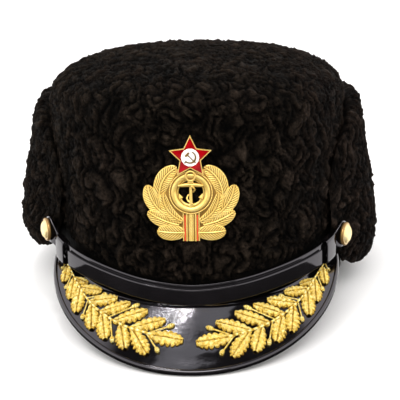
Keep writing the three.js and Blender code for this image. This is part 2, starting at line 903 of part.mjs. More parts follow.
function wreathGeometry() {
  const bandRoom = rectangle(-bandHalfWidth, -2 * badgeBottom, 2 * bandHalfWidth, 2 * badgeBottom);
  const room = solidOf(extrude(bandRoom, 2 * ringRelief, -ringRelief));
  const leaves = fuse(wreathShapes()).subtract(room);
  const middle = fuse([ringShape(), shackleShape(), ...anchorShapes(), ...bandShapes()]);
  return warp(geometryOf(leaves.add(middle)), onFront(0));
}

function stripeGeometry(side) {
  const inner = stripeInset + enamelClearance;
  const left = side > 0 ? inner : -inner - stripeWidth;
  const bottom = enamelClearance - badgeBottom;
  const shape = rectangle(left, bottom, stripeWidth, -stripeTop - bottom);
  const lift = badgePlate + enamelClearance;
  return warp(extrude(shape, stripeHeight - lift, lift), onFront(0));
}

// Five-pointed star, drawn in from its edge by an even margin
function starShape(inset) {
  const points = [];
  const spread = starRadius * starNotchRadius * Math.sin(Math.PI / 5);
  const chord = Math.hypot(
    starRadius - starNotchRadius * Math.cos(Math.PI / 5),
    starNotchRadius * Math.sin(Math.PI / 5),
  );
  const apothem = spread / chord;
  const share = (apothem - inset) / apothem;
  for (let i = 0; i < 10; i += 1) {
    const radius = (i % 2 === 0 ? starRadius : starNotchRadius) * share;
    const angle = Math.PI / 2 + (i * Math.PI) / 5;
    points.push(new THREE.Vector2(radius * Math.cos(angle), radius * Math.sin(angle)));
  }
  return new THREE.Shape(points);
}

function starGeometry() {
  const plate = extrude(starShape(0), starPlate);
  const rim = starShape(0);
  rim.holes.push(new THREE.Path(starShape(starRimWidth).getPoints().reverse()));
  const flat = geometryOf(fuse([plate, extrude(rim, starPlate + starRimHeight)]));
  flat.translate(0, starRise, 0);
  return warp(flat, onFront(starBack));
}

function starEnamelGeometry() {
  const shape = starShape(starRimWidth + enamelClearance);
  shape.holes.push(new THREE.Path().absarc(
    0, 0, roundelRadius + enamelClearance, 0, 2 * Math.PI, true));
  const lift = starPlate + enamelClearance;
  const flat = extrude(shape, starRimHeight - 2 * enamelClearance, lift);
  flat.translate(0, starRise, 0);
  return warp(flat, onFront(starBack));
}

function roundelGeometry() {
  const shape = new THREE.Shape().absarc(0, 0, roundelRadius, 0, 2 * Math.PI);
  const flat = extrude(shape, roundelHeight, starPlate + enamelClearance);
  flat.translate(0, starRise, 0);
  return warp(flat, onFront(starBack));
}

// Hammer crossed with a sickle, on the roundel: the sickle's blade, then the hammer's
// handle and head and the sickle's grip
const sickleBlade = {
  outer: { radius: 3.4, from: 0.42 * Math.PI, to: -0.78 * Math.PI },
  inner: { x: -0.3, y: 0.24, radius: 2.86, from: -0.78 * Math.PI, to: 0.34 * Math.PI },
};
const emblemBars = [
  { width: 0.5, bottom: -4.1, height: 6.2, turn: Math.PI / 4 },
  { width: 2.9, bottom: 1.7, height: 1.1, turn: Math.PI / 4 },
  { width: 0.6, bottom: -4.3, height: 1.5, turn: -Math.PI / 4 },
];

function emblemGeometry() {
  const { outer, inner } = sickleBlade;
  const blade = new THREE.Shape();
  blade.absarc(0, 0, outer.radius, outer.from, outer.to, true);
  blade.absarc(inner.x, inner.y, inner.radius, inner.from, inner.to, false);
  blade.closePath();
  const bars = emblemBars.map((bar) => extrude(
    rectangle(-bar.width / 2, bar.bottom, bar.width, bar.height), emblemRelief).rotateZ(bar.turn));
  const shapes = [extrude(blade, emblemRelief), ...bars];
  const lift = starPlate + roundelHeight + 2 * enamelClearance;
  const flat = geometryOf(fuse(shapes)).translate(0, starRise, lift);
  return warp(flat, onFront(starBack));
}

// Rest: the cap leans back until it stands on its peak's edge and the back of its flap

const backReach = headBackReach + crownWall + flapBulge * flapFootShare;
const tipReach = peakStart + peakReach;
const restTilt = Math.atan2(
  peakTipDrop + peakThickness + edgeWall - flapFold + restFlattening, tipReach + backReach);

function lowestOf(geometry, tilt) {
  const box = new THREE.Box3().setFromBufferAttribute(
    geometry.clone().rotateX(-tilt).attributes.position);
  return box.min.z;
}

// The soft fur is pressed flat where it meets the table
function flapGeometry(floorHeight) {
  const depth = 60;
  const width = 4 * (headHalfWidth + flapBulge);
  const under = new THREE.BoxGeometry(width, width, depth);
  under.translate(0, 0, floorHeight - depth / 2);
  under.rotateX(restTilt);
  return geometryOf(solidOf(loft(flapStations())).subtract(solidOf(under)));
}

// Materials

function finish(color, roughness, metalness) {
  return new THREE.MeshStandardMaterial({ color, roughness, metalness });
}

const fur = 0x0c0a09;
const patent = 0x0a0a0c;
const gold = 0xd9a441;

function piece(name, geometry, material) {
  const mesh = new THREE.Mesh(geometry, material);
  mesh.name = name;
  return mesh;
}

const edge = edgeGeometry();
const floorHeight = lowestOf(edge, restTilt);

const cap = new THREE.Group();
cap.add(
  piece('crown', crownGeometry(), finish(fur, 0.95, 0)),
  piece('ear_flap', flapGeometry(floorHeight), finish(fur, 0.95, 0)),
  piece('peak', peakGeometry(), finish(patent, 0.12, 0)),
  piece('peak_edge', edge, finish(patent, 0.15, 0)),
  piece('strap_inner', innerStrapGeometry(), finish(patent, 0.16, 0)),
  piece('strap_outer', outerStrapGeometry(), finish(patent, 0.16, 0)),
  piece('keeper_left', keeperGeometry(-1), finish(patent, 0.18, 0)),
  piece('keeper_right', keeperGeometry(1), finish(patent, 0.18, 0)),
  buttonMesh('button_left', strapEnds.left, finish(gold, 0.25, 1)),
  buttonMesh('button_right', strapEnds.right, finish(gold, 0.25, 1)),
);
for (const [name, side] of Object.entries(spraySides)) {
  cap.add(piece(name, sprayGeometry(side), finish(0xd8a93a, 0.5, 0.6)));
}
cap.add(
  piece('badge_wreath', wreathGeometry(), finish(gold, 0.3, 1)),
  piece('badge_star', starGeometry(), finish(gold, 0.25, 1)),
  piece('star_enamel', starEnamelGeometry(), finish(0xa80a12, 0.12, 0)),
  piece('star_roundel', roundelGeometry(), finish(0xf2efe8, 0.15, 0)),
  piece('star_emblem', emblemGeometry(), finish(0x6b4a16, 0.35, 1)),
  piece('stripe_left', stripeGeometry(-1), finish(0xb4301c, 0.2, 0)),
  piece('stripe_right', stripeGeometry(1), finish(0xb4301c, 0.2, 0)),
);
cap.rotation.x = -restTilt;
cap.position.z = -floorHeight;
cap.updateMatrixWorld(true);

// The origin is under the middle of the cap, on the table
const reach = new THREE.Box3().setFromObject(cap, true);
cap.position.x -= (reach.min.x + reach.max.x) / 2;
cap.position.y -= (reach.min.y + reach.max.y) / 2;

const part = new THREE.Group();
part.add(cap);
part.updateMatrixWorld(true);

export default part;
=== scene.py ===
"""Looks of the naval peaked cap: karakul fur, patent leather, gold embroidery and badge."""

import math

import bpy
import numpy as np
from mathutils import Matrix, Vector


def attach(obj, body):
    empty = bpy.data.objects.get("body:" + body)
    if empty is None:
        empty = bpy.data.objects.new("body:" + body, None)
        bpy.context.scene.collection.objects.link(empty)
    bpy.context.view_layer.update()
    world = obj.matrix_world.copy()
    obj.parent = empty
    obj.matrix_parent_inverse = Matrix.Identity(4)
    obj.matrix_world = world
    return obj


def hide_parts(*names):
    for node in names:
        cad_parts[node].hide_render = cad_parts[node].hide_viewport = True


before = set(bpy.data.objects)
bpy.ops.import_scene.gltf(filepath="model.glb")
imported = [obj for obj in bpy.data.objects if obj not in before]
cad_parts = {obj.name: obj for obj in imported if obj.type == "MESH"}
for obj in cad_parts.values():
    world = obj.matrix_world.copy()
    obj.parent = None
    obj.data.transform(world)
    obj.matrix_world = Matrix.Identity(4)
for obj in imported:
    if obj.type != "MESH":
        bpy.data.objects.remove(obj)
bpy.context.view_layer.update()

# The cap's own frame, in millimetres: rim plane at Z = 0, front towards -Y. The cap is
# then tilted back as it rests on the table, and moved over the origin.
REST_TILT = 0.0981121
REST_SHIFT = (0, 10.692, 13.0506)
MM = 0.001

# Sizes of the crown and flap
HEAD_HALF_WIDTH = 83
HEAD_FRONT_REACH = 104.5
HEAD_BACK_REACH = 97.5
CROWN_WALL = 8
CROWN_SIDE_HEIGHT = 104
CROWN_DOME_RISE = 29.5
CROWN_DOME_POWER = 2.5
RIM_FRONT_DROP = 3.4
PLAN_POWER = 2.2
FLAP_TOP = 105
FLAP_FOLD = 2.5
FLAP_BULGE = 22
FLAP_CLEARANCE = 0.5
FLAP_CORNER_RUN = 65

# Sizes of the peak and its edge
PEAK_HALF_WIDTH = 84.5
PEAK_REACH = 86.5
PEAK_SET_BACK = 42.5
PEAK_START = HEAD_FRONT_REACH - PEAK_SET_BACK
PEAK_ROOT_INSET = 3
PEAK_END_HEIGHT = 14.6
PEAK_TIP_DROP = 25
PEAK_DOME = 17.1
PEAK_DOME_POWER = 1.3
PEAK_THICKNESS = 1.8
CLEARANCE = 0.3

# Sizes of the strap, keepers and buttons
STRAP_WIDTH = 9.2
STRAP_THICKNESS = 1.3
STRAP_FRONT_HEIGHT = 0.8
STRAP_RISE = 15.7
STRAP_RISE_POWER = 1.4
STRAP_STEP = 2.6
STRAP_STEP_UP = 2.4
STRAP_STEP_START = 0.45
OUTER_STRAP_END = 47
KEEPER_ANGLE = 52
KEEPER_WIDTH = 10.4
KEEPER_THICKNESS = 0.9
BUTTON_RADIUS = 7
BUTTON_DEPTH = 4.4
BUTTON_STAND_OFF = 9.2
STRAP_TAB_RADIUS = 7.8
STRAP_ENDS = {
    "left": {"sign": -1, "angle": 59.7, "height": 31.6},
    "right": {"sign": 1, "angle": 59.6, "height": 28.2},
}

# Badge, from the centre of its ring
BADGE_HEIGHT = 65.4
BADGE_BEND = 0.003
RING_OUTER = 12.2
RING_RELIEF = 3.3
BADGE_PLATE = 1.1
BADGE_BOTTOM = 27.2
BAND_HALF_WIDTH = 4.7

# Camera, as the photograph was taken
CAMERA_AZIMUTH = 2.37
CAMERA_ELEVATION = 19.35
CAMERA_ROLL = -1.05
CAMERA_DISTANCE = 0.7
CAMERA_TARGET = (0.00093, 0, 0.0511)
CAMERA_LENS = 98.7


# Placing


def stand(points):
    """Points of the cap's own frame, in mm, as they lie on the table, in metres."""
    p = np.asarray(points, float)
    c, s = math.cos(REST_TILT), math.sin(REST_TILT)
    x = p[..., 0] + REST_SHIFT[0]
    y = p[..., 1] * c + p[..., 2] * s + REST_SHIFT[1]
    z = -p[..., 1] * s + p[..., 2] * c + REST_SHIFT[2]
    return np.stack([x, y, z], -1) * MM


def plan_points(angle, offset=CROWN_WALL):
    """Points of the crown's plan. The angle is 90 degrees at the front."""
    c, s = np.cos(angle), np.sin(angle)
    reach = np.where(s > 0, HEAD_FRONT_REACH, HEAD_BACK_REACH)
    x = (HEAD_HALF_WIDTH + offset) * np.sign(c) * np.abs(c) ** (2 / PLAN_POWER)
    y = -(reach + offset) * np.sign(s) * np.abs(s) ** (2 / PLAN_POWER)
    return np.stack([x, y], -1)


def left_of(along):
    """Unit vectors to the left of flat directions."""
    along = along / np.linalg.norm(along, axis=-1, keepdims=True)
    return np.stack([-along[..., 1], along[..., 0]], -1)


def plan_normals(angle):
    step = 0.002
    return left_of(plan_points(angle + step) - plan_points(angle - step))


def wall_points(angle, stand_off, z):
    angle, stand_off, z = np.broadcast_arrays(angle, stand_off, z)
    flat = plan_points(angle) + plan_normals(angle) * stand_off[..., None]
    return np.concatenate([flat, z[..., None].astype(float)], -1)


def full_turn(count):
    return np.linspace(0, 2 * math.pi, count, endpoint=False)


def circle(turn):
    return np.stack([np.cos(turn), np.sin(turn)], -1)


def run_length(points):
    """Length along a line of points, up to each of them."""
    steps = np.linalg.norm(np.diff(points, axis=0), axis=1)
    return np.concatenate([[0], np.cumsum(steps)])


def round_top(s, power):
    """A rounded top across a strip, from its edges at -1 and 1."""
    return np.sqrt(np.clip(1 - s**2, 0, 1)) ** power


def even_angles(start, end, count):
    """Angles at even steps of length round the crown's plan."""
    fine = np.linspace(start, end, 4001)
    length = run_length(plan_points(fine))
    return np.interp(np.linspace(0, length[-1], count), length, fine)


def angle_at_reach(forward):
    return math.asin((forward / (HEAD_FRONT_REACH + CROWN_WALL)) ** (PLAN_POWER / 2))


def smooth_step(value, low, high):
    t = np.clip((value - low) / (high - low), 0, 1)
    return t * t * (3 - 2 * t)


# Random patterns


class Noise:
    """Smooth random values from about -1 to 1, with one random lattice for each seed."""

    def __init__(self, seed):
        rng = np.random.default_rng(seed)
        table = rng.permutation(256)
        self.table = np.concatenate([table, table])
        self.directions = rng.normal(size=(256, 3))
        self.directions /= np.linalg.norm(self.directions, axis=1)[:, None]

    def __call__(self, points):
        cell = np.floor(points).astype(int)
        part = points - cell
        fade = part**3 * (part * (part * 6 - 15) + 10)
        cell &= 255
        total = np.zeros(points.shape[:-1])
        for corner in np.ndindex(2, 2, 2):
            ids = (cell + corner) & 255
            index = self.table[ids[..., 0]] + ids[..., 1]
            index = self.table[index & 255] + ids[..., 2]
            index = self.table[index & 255]
            value = np.sum(self.directions[index] * (part - corner), axis=-1)
            for axis, high in enumerate(corner):
                value = value * (fade[..., axis] if high else 1 - fade[..., axis])
            total += value
        return total * 1.6


# Meshes


def grid_faces(rows, columns, wrap=False):
    """Four-sided faces of a grid of points, row after row."""
    across = columns if wrap else columns - 1
    r, c = np.meshgrid(np.arange(rows - 1), np.arange(across), indexing="ij")
    n = (c + 1) % columns
    quads = [r * columns + c, r * columns + n, (r + 1) * columns + n, (r + 1) * columns + c]
    return np.stack(quads, -1).reshape(-1, 4)


def add_object(name, data):
    made = bpy.data.objects.new(name, data)
    bpy.context.scene.collection.objects.link(made)
    return made


def mesh_object(name, points, faces, values=None):
    """A smooth mesh on the table. values names numbers that are kept at its points."""
    mesh = bpy.data.meshes.new(name)
    mesh.from_pydata(np.asarray(points).reshape(-1, 3).tolist(), [], np.asarray(faces).tolist())
    for key, value in (values or {}).items():
        layer = mesh.attributes.new(key, "FLOAT", "POINT")
        layer.data.foreach_set("value", np.asarray(value, np.float32).ravel())
    mesh.polygons.foreach_set("use_smooth", np.ones(len(mesh.polygons), bool))
    mesh.update()
    return add_object(name, mesh)


def grid_normals(grid, wrap):
    """Unit normals of a grid of points, from its neighbours on each side."""
    down = np.gradient(grid, axis=0)
    if wrap:
        across = np.roll(grid, -1, axis=1) - np.roll(grid, 1, axis=1)
    else:
        across = np.gradient(grid, axis=1)
    normal = np.cross(across, down)
    size = np.linalg.norm(normal, axis=-1, keepdims=True)
    return normal / np.maximum(size, 1e-9)


def join_grids(grids, wraps):
    """The points and faces of several grids, as one mesh."""
    points, faces, start = [], [], 0
    for grid, wrap in zip(grids, wraps):
        rows, columns = grid.shape[:2]
        points.append(grid.reshape(-1, 3))
        faces.append(grid_faces(rows, columns, wrap) + start)
        start += rows * columns
    return np.concatenate(points), np.concatenate(faces)


def dress(made, material, node):
    """Gives a piece its material, hangs it on the root body and hides the node it stands for."""
    made.data.materials.append(material)
    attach(made, "root")
    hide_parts(node)


def grid_piece(name, grid, wrap, material, node, values=None):
    """A piece made of one grid of points in the cap's own frame."""
    made = mesh_object(name, stand(grid), grid_faces(*grid.shape[:2], wrap), values)
    dress(made, material, node)


# Materials


def set_inputs(tree, node, inputs):
    """Sets a node's inputs to values, or joins them to the outputs of other nodes."""
    for key, value in inputs.items():
        if isinstance(value, bpy.types.NodeSocket):
            tree.links.new(value, node.inputs[key])
        else:
            node.inputs[key].default_value = value


def add_node(tree, kind, output, inputs, **settings):
    """Adds a node and gives one of its outputs."""
    node = tree.nodes.new("ShaderNode" + kind)
    for key, value in settings.items():
        setattr(node, key, value)
    set_inputs(tree, node, inputs)
    return node.outputs[output]


def connect(tree, principled, **inputs):
    """Sets the shader's inputs. Their names are written with _ for a space."""
    set_inputs(tree, principled, {key.replace("_", " "): inputs[key] for key in inputs})


def shader(name, **inputs):
    """A material, its node tree and its shader."""
    material = bpy.data.materials.new(name)
    material.use_nodes = True
    tree = material.node_tree
    principled = tree.nodes["Principled BSDF"]
    connect(tree, principled, **inputs)
    return material, tree, principled


def grey(level):
    return (level, level, level)


def noise_node(tree, scale, detail=2, roughness=0.5, distortion=0):
    """Noise by place on the piece. The scale is in waves per metre."""
    place = add_node(tree, "TexCoord", "Object", {})
    inputs = {"Vector": place, "Scale": scale, "Detail": detail}
    inputs |= {"Roughness": roughness, "Distortion": distortion}
    return add_node(tree, "TexNoise", "Fac", inputs)


def ramp_node(tree, source, stops):
    """Colours by value: stops lists (value, colour)."""
    node = tree.nodes.new("ShaderNodeValToRGB")
    ramp = node.color_ramp
    while len(ramp.elements) < len(stops):
        ramp.elements.new(0.5)
    for element, (position, color) in zip(ramp.elements, stops):
        element.position = position
        element.color = (*color, 1)
    tree.links.new(source, node.inputs["Fac"])
    return node.outputs["Color"]


def bump_node(tree, source, strength, distance, **below):
    """Relief of the surface, over the Normal given below. The distance is in metres."""
    inputs = {"Strength": strength, "Distance": distance, "Height": source, **below}
    return add_node(tree, "Bump", "Normal", inputs)


def attribute_node(tree, name):
    return add_node(tree, "Attribute", "Fac", {}, attribute_name=name)


def math_node(tree, operation, a, b):
    return add_node(tree, "Math", "Value", {0: a, 1: b}, operation=operation)


def weighted_sum(tree, parts, offset):
    """The sum of several sources, each times its weight, and an offset."""
    total = offset
    for source, weight in parts:
        total = math_node(tree, "ADD", math_node(tree, "MULTIPLY", source, weight), total)
    return total


def mix_node(tree, share, low, high):
    """Mixes two colours. high may be one colour for the whole surface."""
    inputs = {"Factor": share, 6: low, 7: high}
    return add_node(tree, "Mix", 2, inputs, data_type="RGBA")


def fur_material():
    """Black karakul with fine wool on its locks. Painted shade darkens its colour in the creases of
    its curls and under the strap.
    """
    material, tree, principled = shader(
        "karakul", Roughness=0.65, Sheen_Weight=0.001, Sheen_Roughness=0.4,
        Sheen_Tint=(0.8, 0.72, 0.66, 1), Specular_IOR_Level=0.03)
    # Painted shade: the attribute read here is low in the curls' creases and under the strap, and
    # darkens the colour there.
    painted_fur_shade = attribute_node(tree, "painted_fur_shade")
    patches = noise_node(tree, scale=70, detail=4)
    wool = noise_node(tree, scale=900, detail=3, roughness=0.75, distortion=2.0)
    value = weighted_sum(tree, [(painted_fur_shade, 0.62), (patches, 0.35), (wool, 1.15)], -0.58)
    black = ramp_node(tree, value, [
        (0.3, (0.0001, 0.0001, 0.0001)),
        (0.52, (0.0034, 0.0024, 0.0016)),
        (0.78, (0.0225, 0.0162, 0.0115)),
        (1.0, (0.06, 0.044, 0.032)),
    ])
    brown = ramp_node(tree, value, [
        (0.3, (0.0002, 0.0001, 0.0001)),
        (0.52, (0.0042, 0.0027, 0.002)),
        (0.78, (0.0255, 0.0168, 0.013)),
        (1.0, (0.066, 0.045, 0.036)),
    ])
    color = mix_node(tree, attribute_node(tree, "brown"), black, brown)
    fibre = noise_node(tree, scale=1500, detail=3, roughness=0.7, distortion=2.0)
    tuft = noise_node(tree, scale=420, detail=3, roughness=0.65, distortion=1.5)
    normal = bump_node(tree, tuft, strength=1.0, distance=0.0014)
    normal = bump_node(tree, fibre, strength=1.0, distance=0.0005, Normal=normal)
    connect(tree, principled, Base_Color=color, Normal=normal)
    return material


def patent_material():
    """Black patent leather. Where its grain is 1, the leather is dimpled and worn."""
    material, tree, principled = shader(
        "patent_leather", Coat_Weight=0.35, Coat_Roughness=0.05,
        Specular_IOR_Level=0.62, Specular_Tint=(0.96, 0.9, 1, 1))
    color = ramp_node(tree, noise_node(tree, scale=90, detail=3), [
        (0.35, (0.0012, 0.001, 0.0012)),
        (0.75, (0.0035, 0.003, 0.0035)),
    ])
    grain = attribute_node(tree, "grain")
    wear = noise_node(tree, scale=160, detail=4, roughness=0.6)
    worn = math_node(tree, "MULTIPLY", wear, grain)
    rough = ramp_node(tree, worn, [(0.0, grey(0.06)), (0.6, grey(0.3))])
    wave = noise_node(tree, scale=60)
    dimples = noise_node(tree, scale=380, detail=3, roughness=0.6)
    dimples = math_node(tree, "MULTIPLY", dimples, grain)
    normal = bump_node(tree, wave, strength=0.25, distance=0.0005)
    normal = bump_node(tree, dimples, strength=0.22, distance=0.0006, Normal=normal)
    connect(tree, principled, Base_Color=color, Roughness=rough, Normal=normal, Coat_Normal=normal)
    return material


def lining_material():
    material, tree, principled = shader("lining", Roughness=0.55, Sheen_Weight=0.3)
    color = ramp_node(tree, noise_node(tree, scale=800), [
        (0.3, (0.008, 0.008, 0.009)),
        (0.7, (0.016, 0.015, 0.016)),
    ])
    normal = bump_node(tree, noise_node(tree, scale=1500), strength=0.4, distance=0.0002)
    connect(tree, principled, Base_Color=color, Normal=normal)
    return material


def thread_material():
    """Gold wire thread, laid side by side in satin stitch, with painted light and shade in its
    colour.
    """
    material, tree, principled = shader("gold_thread", Metallic=0.6)
    # Painted light and shade: one attribute makes the tops of leaves and cords lighter and their
    # edges, notches and veins darker. The glint noise paints speckled highlights.
    stitch = attribute_node(tree, "stitch")
    painted_relief_shade = attribute_node(tree, "painted_relief_shade")
    glint = noise_node(tree, scale=620, detail=3, roughness=0.8, distortion=1.0)
    value = weighted_sum(tree, [(painted_relief_shade, 1.0), (glint, 2.2), (stitch, 0.2)], -1.06)
    color = ramp_node(tree, value, [
        (0.05, (0.2, 0.09, 0.006)),
        (0.35, (0.68, 0.42, 0.04)),
        (0.6, (1.0, 0.75, 0.15)),
        (0.88, (1.0, 0.95, 0.5)),
    ])
    rough = ramp_node(tree, glint, [(0.35, grey(0.5)), (0.65, grey(0.25))])
    normal = bump_node(tree, stitch, strength=0.8, distance=0.0003)
    normal = bump_node(tree, glint, strength=1.0, distance=0.0008, Normal=normal)
    connect(tree, principled, Base_Color=color, Roughness=rough, Normal=normal)
    return material


# Brown of the painted shade on the gilt
GILT_SHADE_BROWN = (0.2, 0.08, 0.005, 1)


def gilt_material(name, dark, middle, light):
    """Gilt brass, browned by painted shade in its hollows, gaps and creases, at its edges and on
    the badge's back plate.
    """
    material, tree, principled = shader(name, Metallic=0.72)
    wear = noise_node(tree, scale=240, detail=4, roughness=0.6)
    clean = ramp_node(tree, wear, [(0.25, dark), (0.6, middle), (0.9, light)])
    # Painted shade: the attribute read here browns the colour where shade falls.
    color = mix_node(tree, attribute_node(tree, "gilt_painted_shade"), clean, GILT_SHADE_BROWN)
    rough = ramp_node(tree, wear, [(0.3, grey(0.3)), (0.75, grey(0.42))])
    normal = bump_node(tree, noise_node(tree, scale=1600), strength=0.15, distance=0.0001)
    connect(tree, principled, Base_Color=color, Roughness=rough, Normal=normal)
    return material


def enamel_material(name, dark, light, roughness=0.1):
    material, tree, principled = shader(name, Roughness=roughness, Specular_IOR_Level=0.12)
    color = ramp_node(tree, noise_node(tree, scale=260, detail=3), [(0.3, dark), (0.75, light)])
    normal = bump_node(tree, noise_node(tree, scale=500), strength=0.05, distance=0.0001)
    connect(tree, principled, Base_Color=color, Normal=normal)
    return material


# Fur

# Karakul curls, in mm: their size up to a crease, the small ones' share of it, the wool
# between them, how far and how widely they wander, and how much of each is in the height
CURL_HEIGHT = 4.2
CURL_SIZE = 6.5
SMALL_CURL_SHARE = 0.4
WOOL_SIZE = (1.3, 1.3, 1.7)
SWIRL_REACH = 6
SWIRL_SIZE = 11
CURL_SHARE, SMALL_SHARE, WOOL_SHARE = 0.56, 0.38, 0.16
CROWN_CURL_STRETCH = 1.9
FLAP_CURL_STRETCH = 1.8
# Lattice places that keep the patterns from repeating each other
SMALL_CURL_PLACE, WOOL_PLACE, FLAP_PLACE = 40, 90, 500
# Curl value at which the fur lies on the crown's and the flap's outline
CROWN_LEVEL, FLAP_LEVEL = 0.55, 0.5

# Room that the badge and its star press into the fur: half width, half height and middle
BADGE_ROOM = (24, 25, -4)
STAR_ROOM = (10, 13, 21)
BADGE_ROOM_EDGE = (0.86, 1.04)
BADGE_ROOM_FRONT = -60
BADGE_PRESS = 1.0
STRAP_PRESS = 0.5
STRAP_PRESS_EDGE = (-1, 4)
RIM_DROP_END = 30
TOP_SHARE = 0.002
# How brown the fur is: everywhere, at the wearer's left and in patches
BROWN_ALL, BROWN_LEFT, BROWN_PATCHES = 0.12, 0.55, 0.35
BROWN_LEFT_EDGE = (30, 100)
BROWN_PATCH_SIZE = 26

big_curl = Noise(11)
small_curl = Noise(12)
wool_curl = Noise(13)
swirl = [Noise(seed) for seed in (21, 22, 23)]
brown_patch = Noise(24)


def curls(points, stretch):
    """Height of the karakul curls, from 0 in a crease to about 1, at points in mm."""
    warp = np.stack([turn(points / SWIRL_SIZE) for turn in swirl], -1)
    bent = points + warp * SWIRL_REACH
    size = CURL_SIZE * np.array([1, 1, stretch])
    large = big_curl(bent / size)
    large = np.clip(np.abs(large) * 1.6, 0, 1) ** 0.55
    small = small_curl(bent / (size * SMALL_CURL_SHARE) + SMALL_CURL_PLACE)
    small = np.clip(np.abs(small) * 1.5, 0, 1) ** 0.6
    wool = wool_curl(bent / WOOL_SIZE + WOOL_PLACE)
    return np.clip(CURL_SHARE * large + SMALL_SHARE * small + WOOL_SHARE * wool, 0, 1.15)


def badge_room(points):
    """1 where the badge presses the fur flat, falling to 0 around it."""
    x, z = points[..., 0], points[..., 2]
    far = [np.hypot(x / half_width, (z - BADGE_HEIGHT - middle) / half_height)
           for half_width, half_height, middle in (BADGE_ROOM, STAR_ROOM)]
    front = points[..., 1] < BADGE_ROOM_FRONT
    return np.where(front, 1 - smooth_step(np.minimum(*far), *BADGE_ROOM_EDGE), 0)


def strap_low(front_angle):
    share = (np.abs(front_angle) / KEEPER_ANGLE) ** STRAP_RISE_POWER
    return STRAP_FRONT_HEIGHT + STRAP_RISE * share


def crown_profile(count):
    """Share of the plan's width and height at even steps up the side and over the top."""
    turn = np.linspace(0, math.pi / 2, 400)
    share = np.cos(turn) ** (2 / CROWN_DOME_POWER)
    rise = CROWN_DOME_RISE * np.sin(turn) ** (2 / CROWN_DOME_POWER)
    share = np.concatenate([[1], share])
    height = np.concatenate([[0], CROWN_SIDE_HEIGHT + rise])
    width = HEAD_FRONT_REACH
    length = np.concatenate([[0], np.cumsum(np.hypot(np.diff(share * width), np.diff(height)))])
    even = np.linspace(0, length[-1], count)
    return np.interp(even, length, share), np.interp(even, length, height)


def brown_share(points):
    """How brown the black fur looks, most on the wearer's left."""
    left = BROWN_LEFT * smooth_step(points[..., 0], *BROWN_LEFT_EDGE)
    patches = BROWN_PATCHES * brown_patch(points / BROWN_PATCH_SIZE)
    return np.clip(BROWN_ALL + left + patches, 0, 1)


def crown_fur(material, name, start, end, rows, columns):
    """Fur of the crown from one angle of its plan to another."""
    angle = even_angles(start, end, columns)
    share, height = crown_profile(rows)
    share[-1] = TOP_SHARE
    flat = plan_points(angle)[None] * share[:, None, None]
    z = np.repeat(height[:, None], columns, 1)
    drop = RIM_FRONT_DROP * np.clip(-flat[..., 1] / HEAD_FRONT_REACH, 0, 1)
    z = z - drop * (1 - smooth_step(z, 0, RIM_DROP_END))
    base = np.concatenate([flat, z[..., None]], -1)
    slope = np.gradient(np.stack([share * HEAD_FRONT_REACH, height], -1), axis=0)
    slope /= np.linalg.norm(slope, axis=1, keepdims=True)
    out = plan_normals(angle)[None] * slope[:, 1][:, None, None]
    rise = np.broadcast_to(-slope[:, 0][:, None, None], (*z.shape, 1))
    normal = np.concatenate([out, rise], -1)
    value = curls(base, CROWN_CURL_STRETCH)
    press = badge_room(base)
    lift = (value - CROWN_LEVEL) * CURL_HEIGHT
    lift = lift * (1 - press) - BADGE_PRESS * press
    front_angle = 90 - np.degrees(angle)
    front = np.sin(angle) > 0.3
    strap_top = strap_low(np.where(front, front_angle, 0)) + STRAP_WIDTH + STRAP_STEP_UP
    low, high = STRAP_PRESS_EDGE
    under = (1 - smooth_step(z, strap_top + low, strap_top + high)) * front
    lift = lift * (1 - under) - STRAP_PRESS * under
    grid = base + normal * lift[..., None]
    # Painted shade: the colour value is low in the curls' creases and is cut by 0.6 under the
    # strap.
    values = {"painted_fur_shade": value * (1 - 0.6 * under), "brown": brown_share(base)}
    grid_piece(name, grid, False, material, "crown", values)


RIM_ROLL = -1.2


def crown_lining(material):
    """Rim and inside of the crown."""
    angle = even_angles(0, 2 * math.pi, 97)[:-1]
    rows = []
    for offset in (CROWN_WALL, CROWN_WALL * 0.6, CROWN_WALL * 0.2, 0):
        flat = plan_points(angle, offset)
        drop = RIM_FRONT_DROP * np.clip(-flat[:, 1] / HEAD_FRONT_REACH, 0, 1)
        bulge = RIM_ROLL if 0 < offset < CROWN_WALL else 0
        rows.append(np.column_stack([flat, bulge - drop]))
    share, height = crown_profile(30)
    top = CROWN_SIDE_HEIGHT + CROWN_DOME_RISE
    for s, z in zip(share[2:], height[2:]):
        flat = plan_points(angle, 0) * max(s, TOP_SHARE)
        rows.append(np.column_stack([flat, np.full(len(flat), z * (top - CROWN_WALL) / top)]))
    grid = np.stack(rows)[::-1]
    grid_piece("crown_lining", grid, True, material, "crown")


# Section of the flap, as shares of its height and bulge, from the top of its inner face
# over the top and down the outside to the foot
FLAP_SECTION = [
    (0.9, 0), (0.96, 0), (1, 0.2), (0.985, 0.4), (0.93, 0.5), (0.82, 0.58), (0.68, 0.68),
    (0.5, 0.84), (0.32, 0.96), (0.2, 0.97), (0.1, 0.87), (0.03, 0.68), (0, 0.45), (0.01, 0.2),
    (0.05, 0), (0.12, 0),
]

# Rounded front corner: share of its run, low and high edge, and thickness
FLAP_CORNER = [
    (1, 0.33, 0.488, 0.1), (0.97, 0.275, 0.6, 0.17), (0.92, 0.225, 0.684, 0.23),
    (0.83, 0.172, 0.757, 0.3), (0.72, 0.13, 0.8, 0.47), (0.55, 0.085, 0.865, 0.76),
    (0.34, 0.042, 0.938, 0.95), (0.14, 0.012, 0.985, 1), (0, 0, 1, 1),
]
FLAP_HANG = {"left": 0.085, "right": -0.03}
FLAP_HANG_START = -55
FLAP_HANG_END = 20
# Points on each side over which the flap's corner is softened
FLAP_SOFTEN = 7
TABLE_GAP = 0.0002


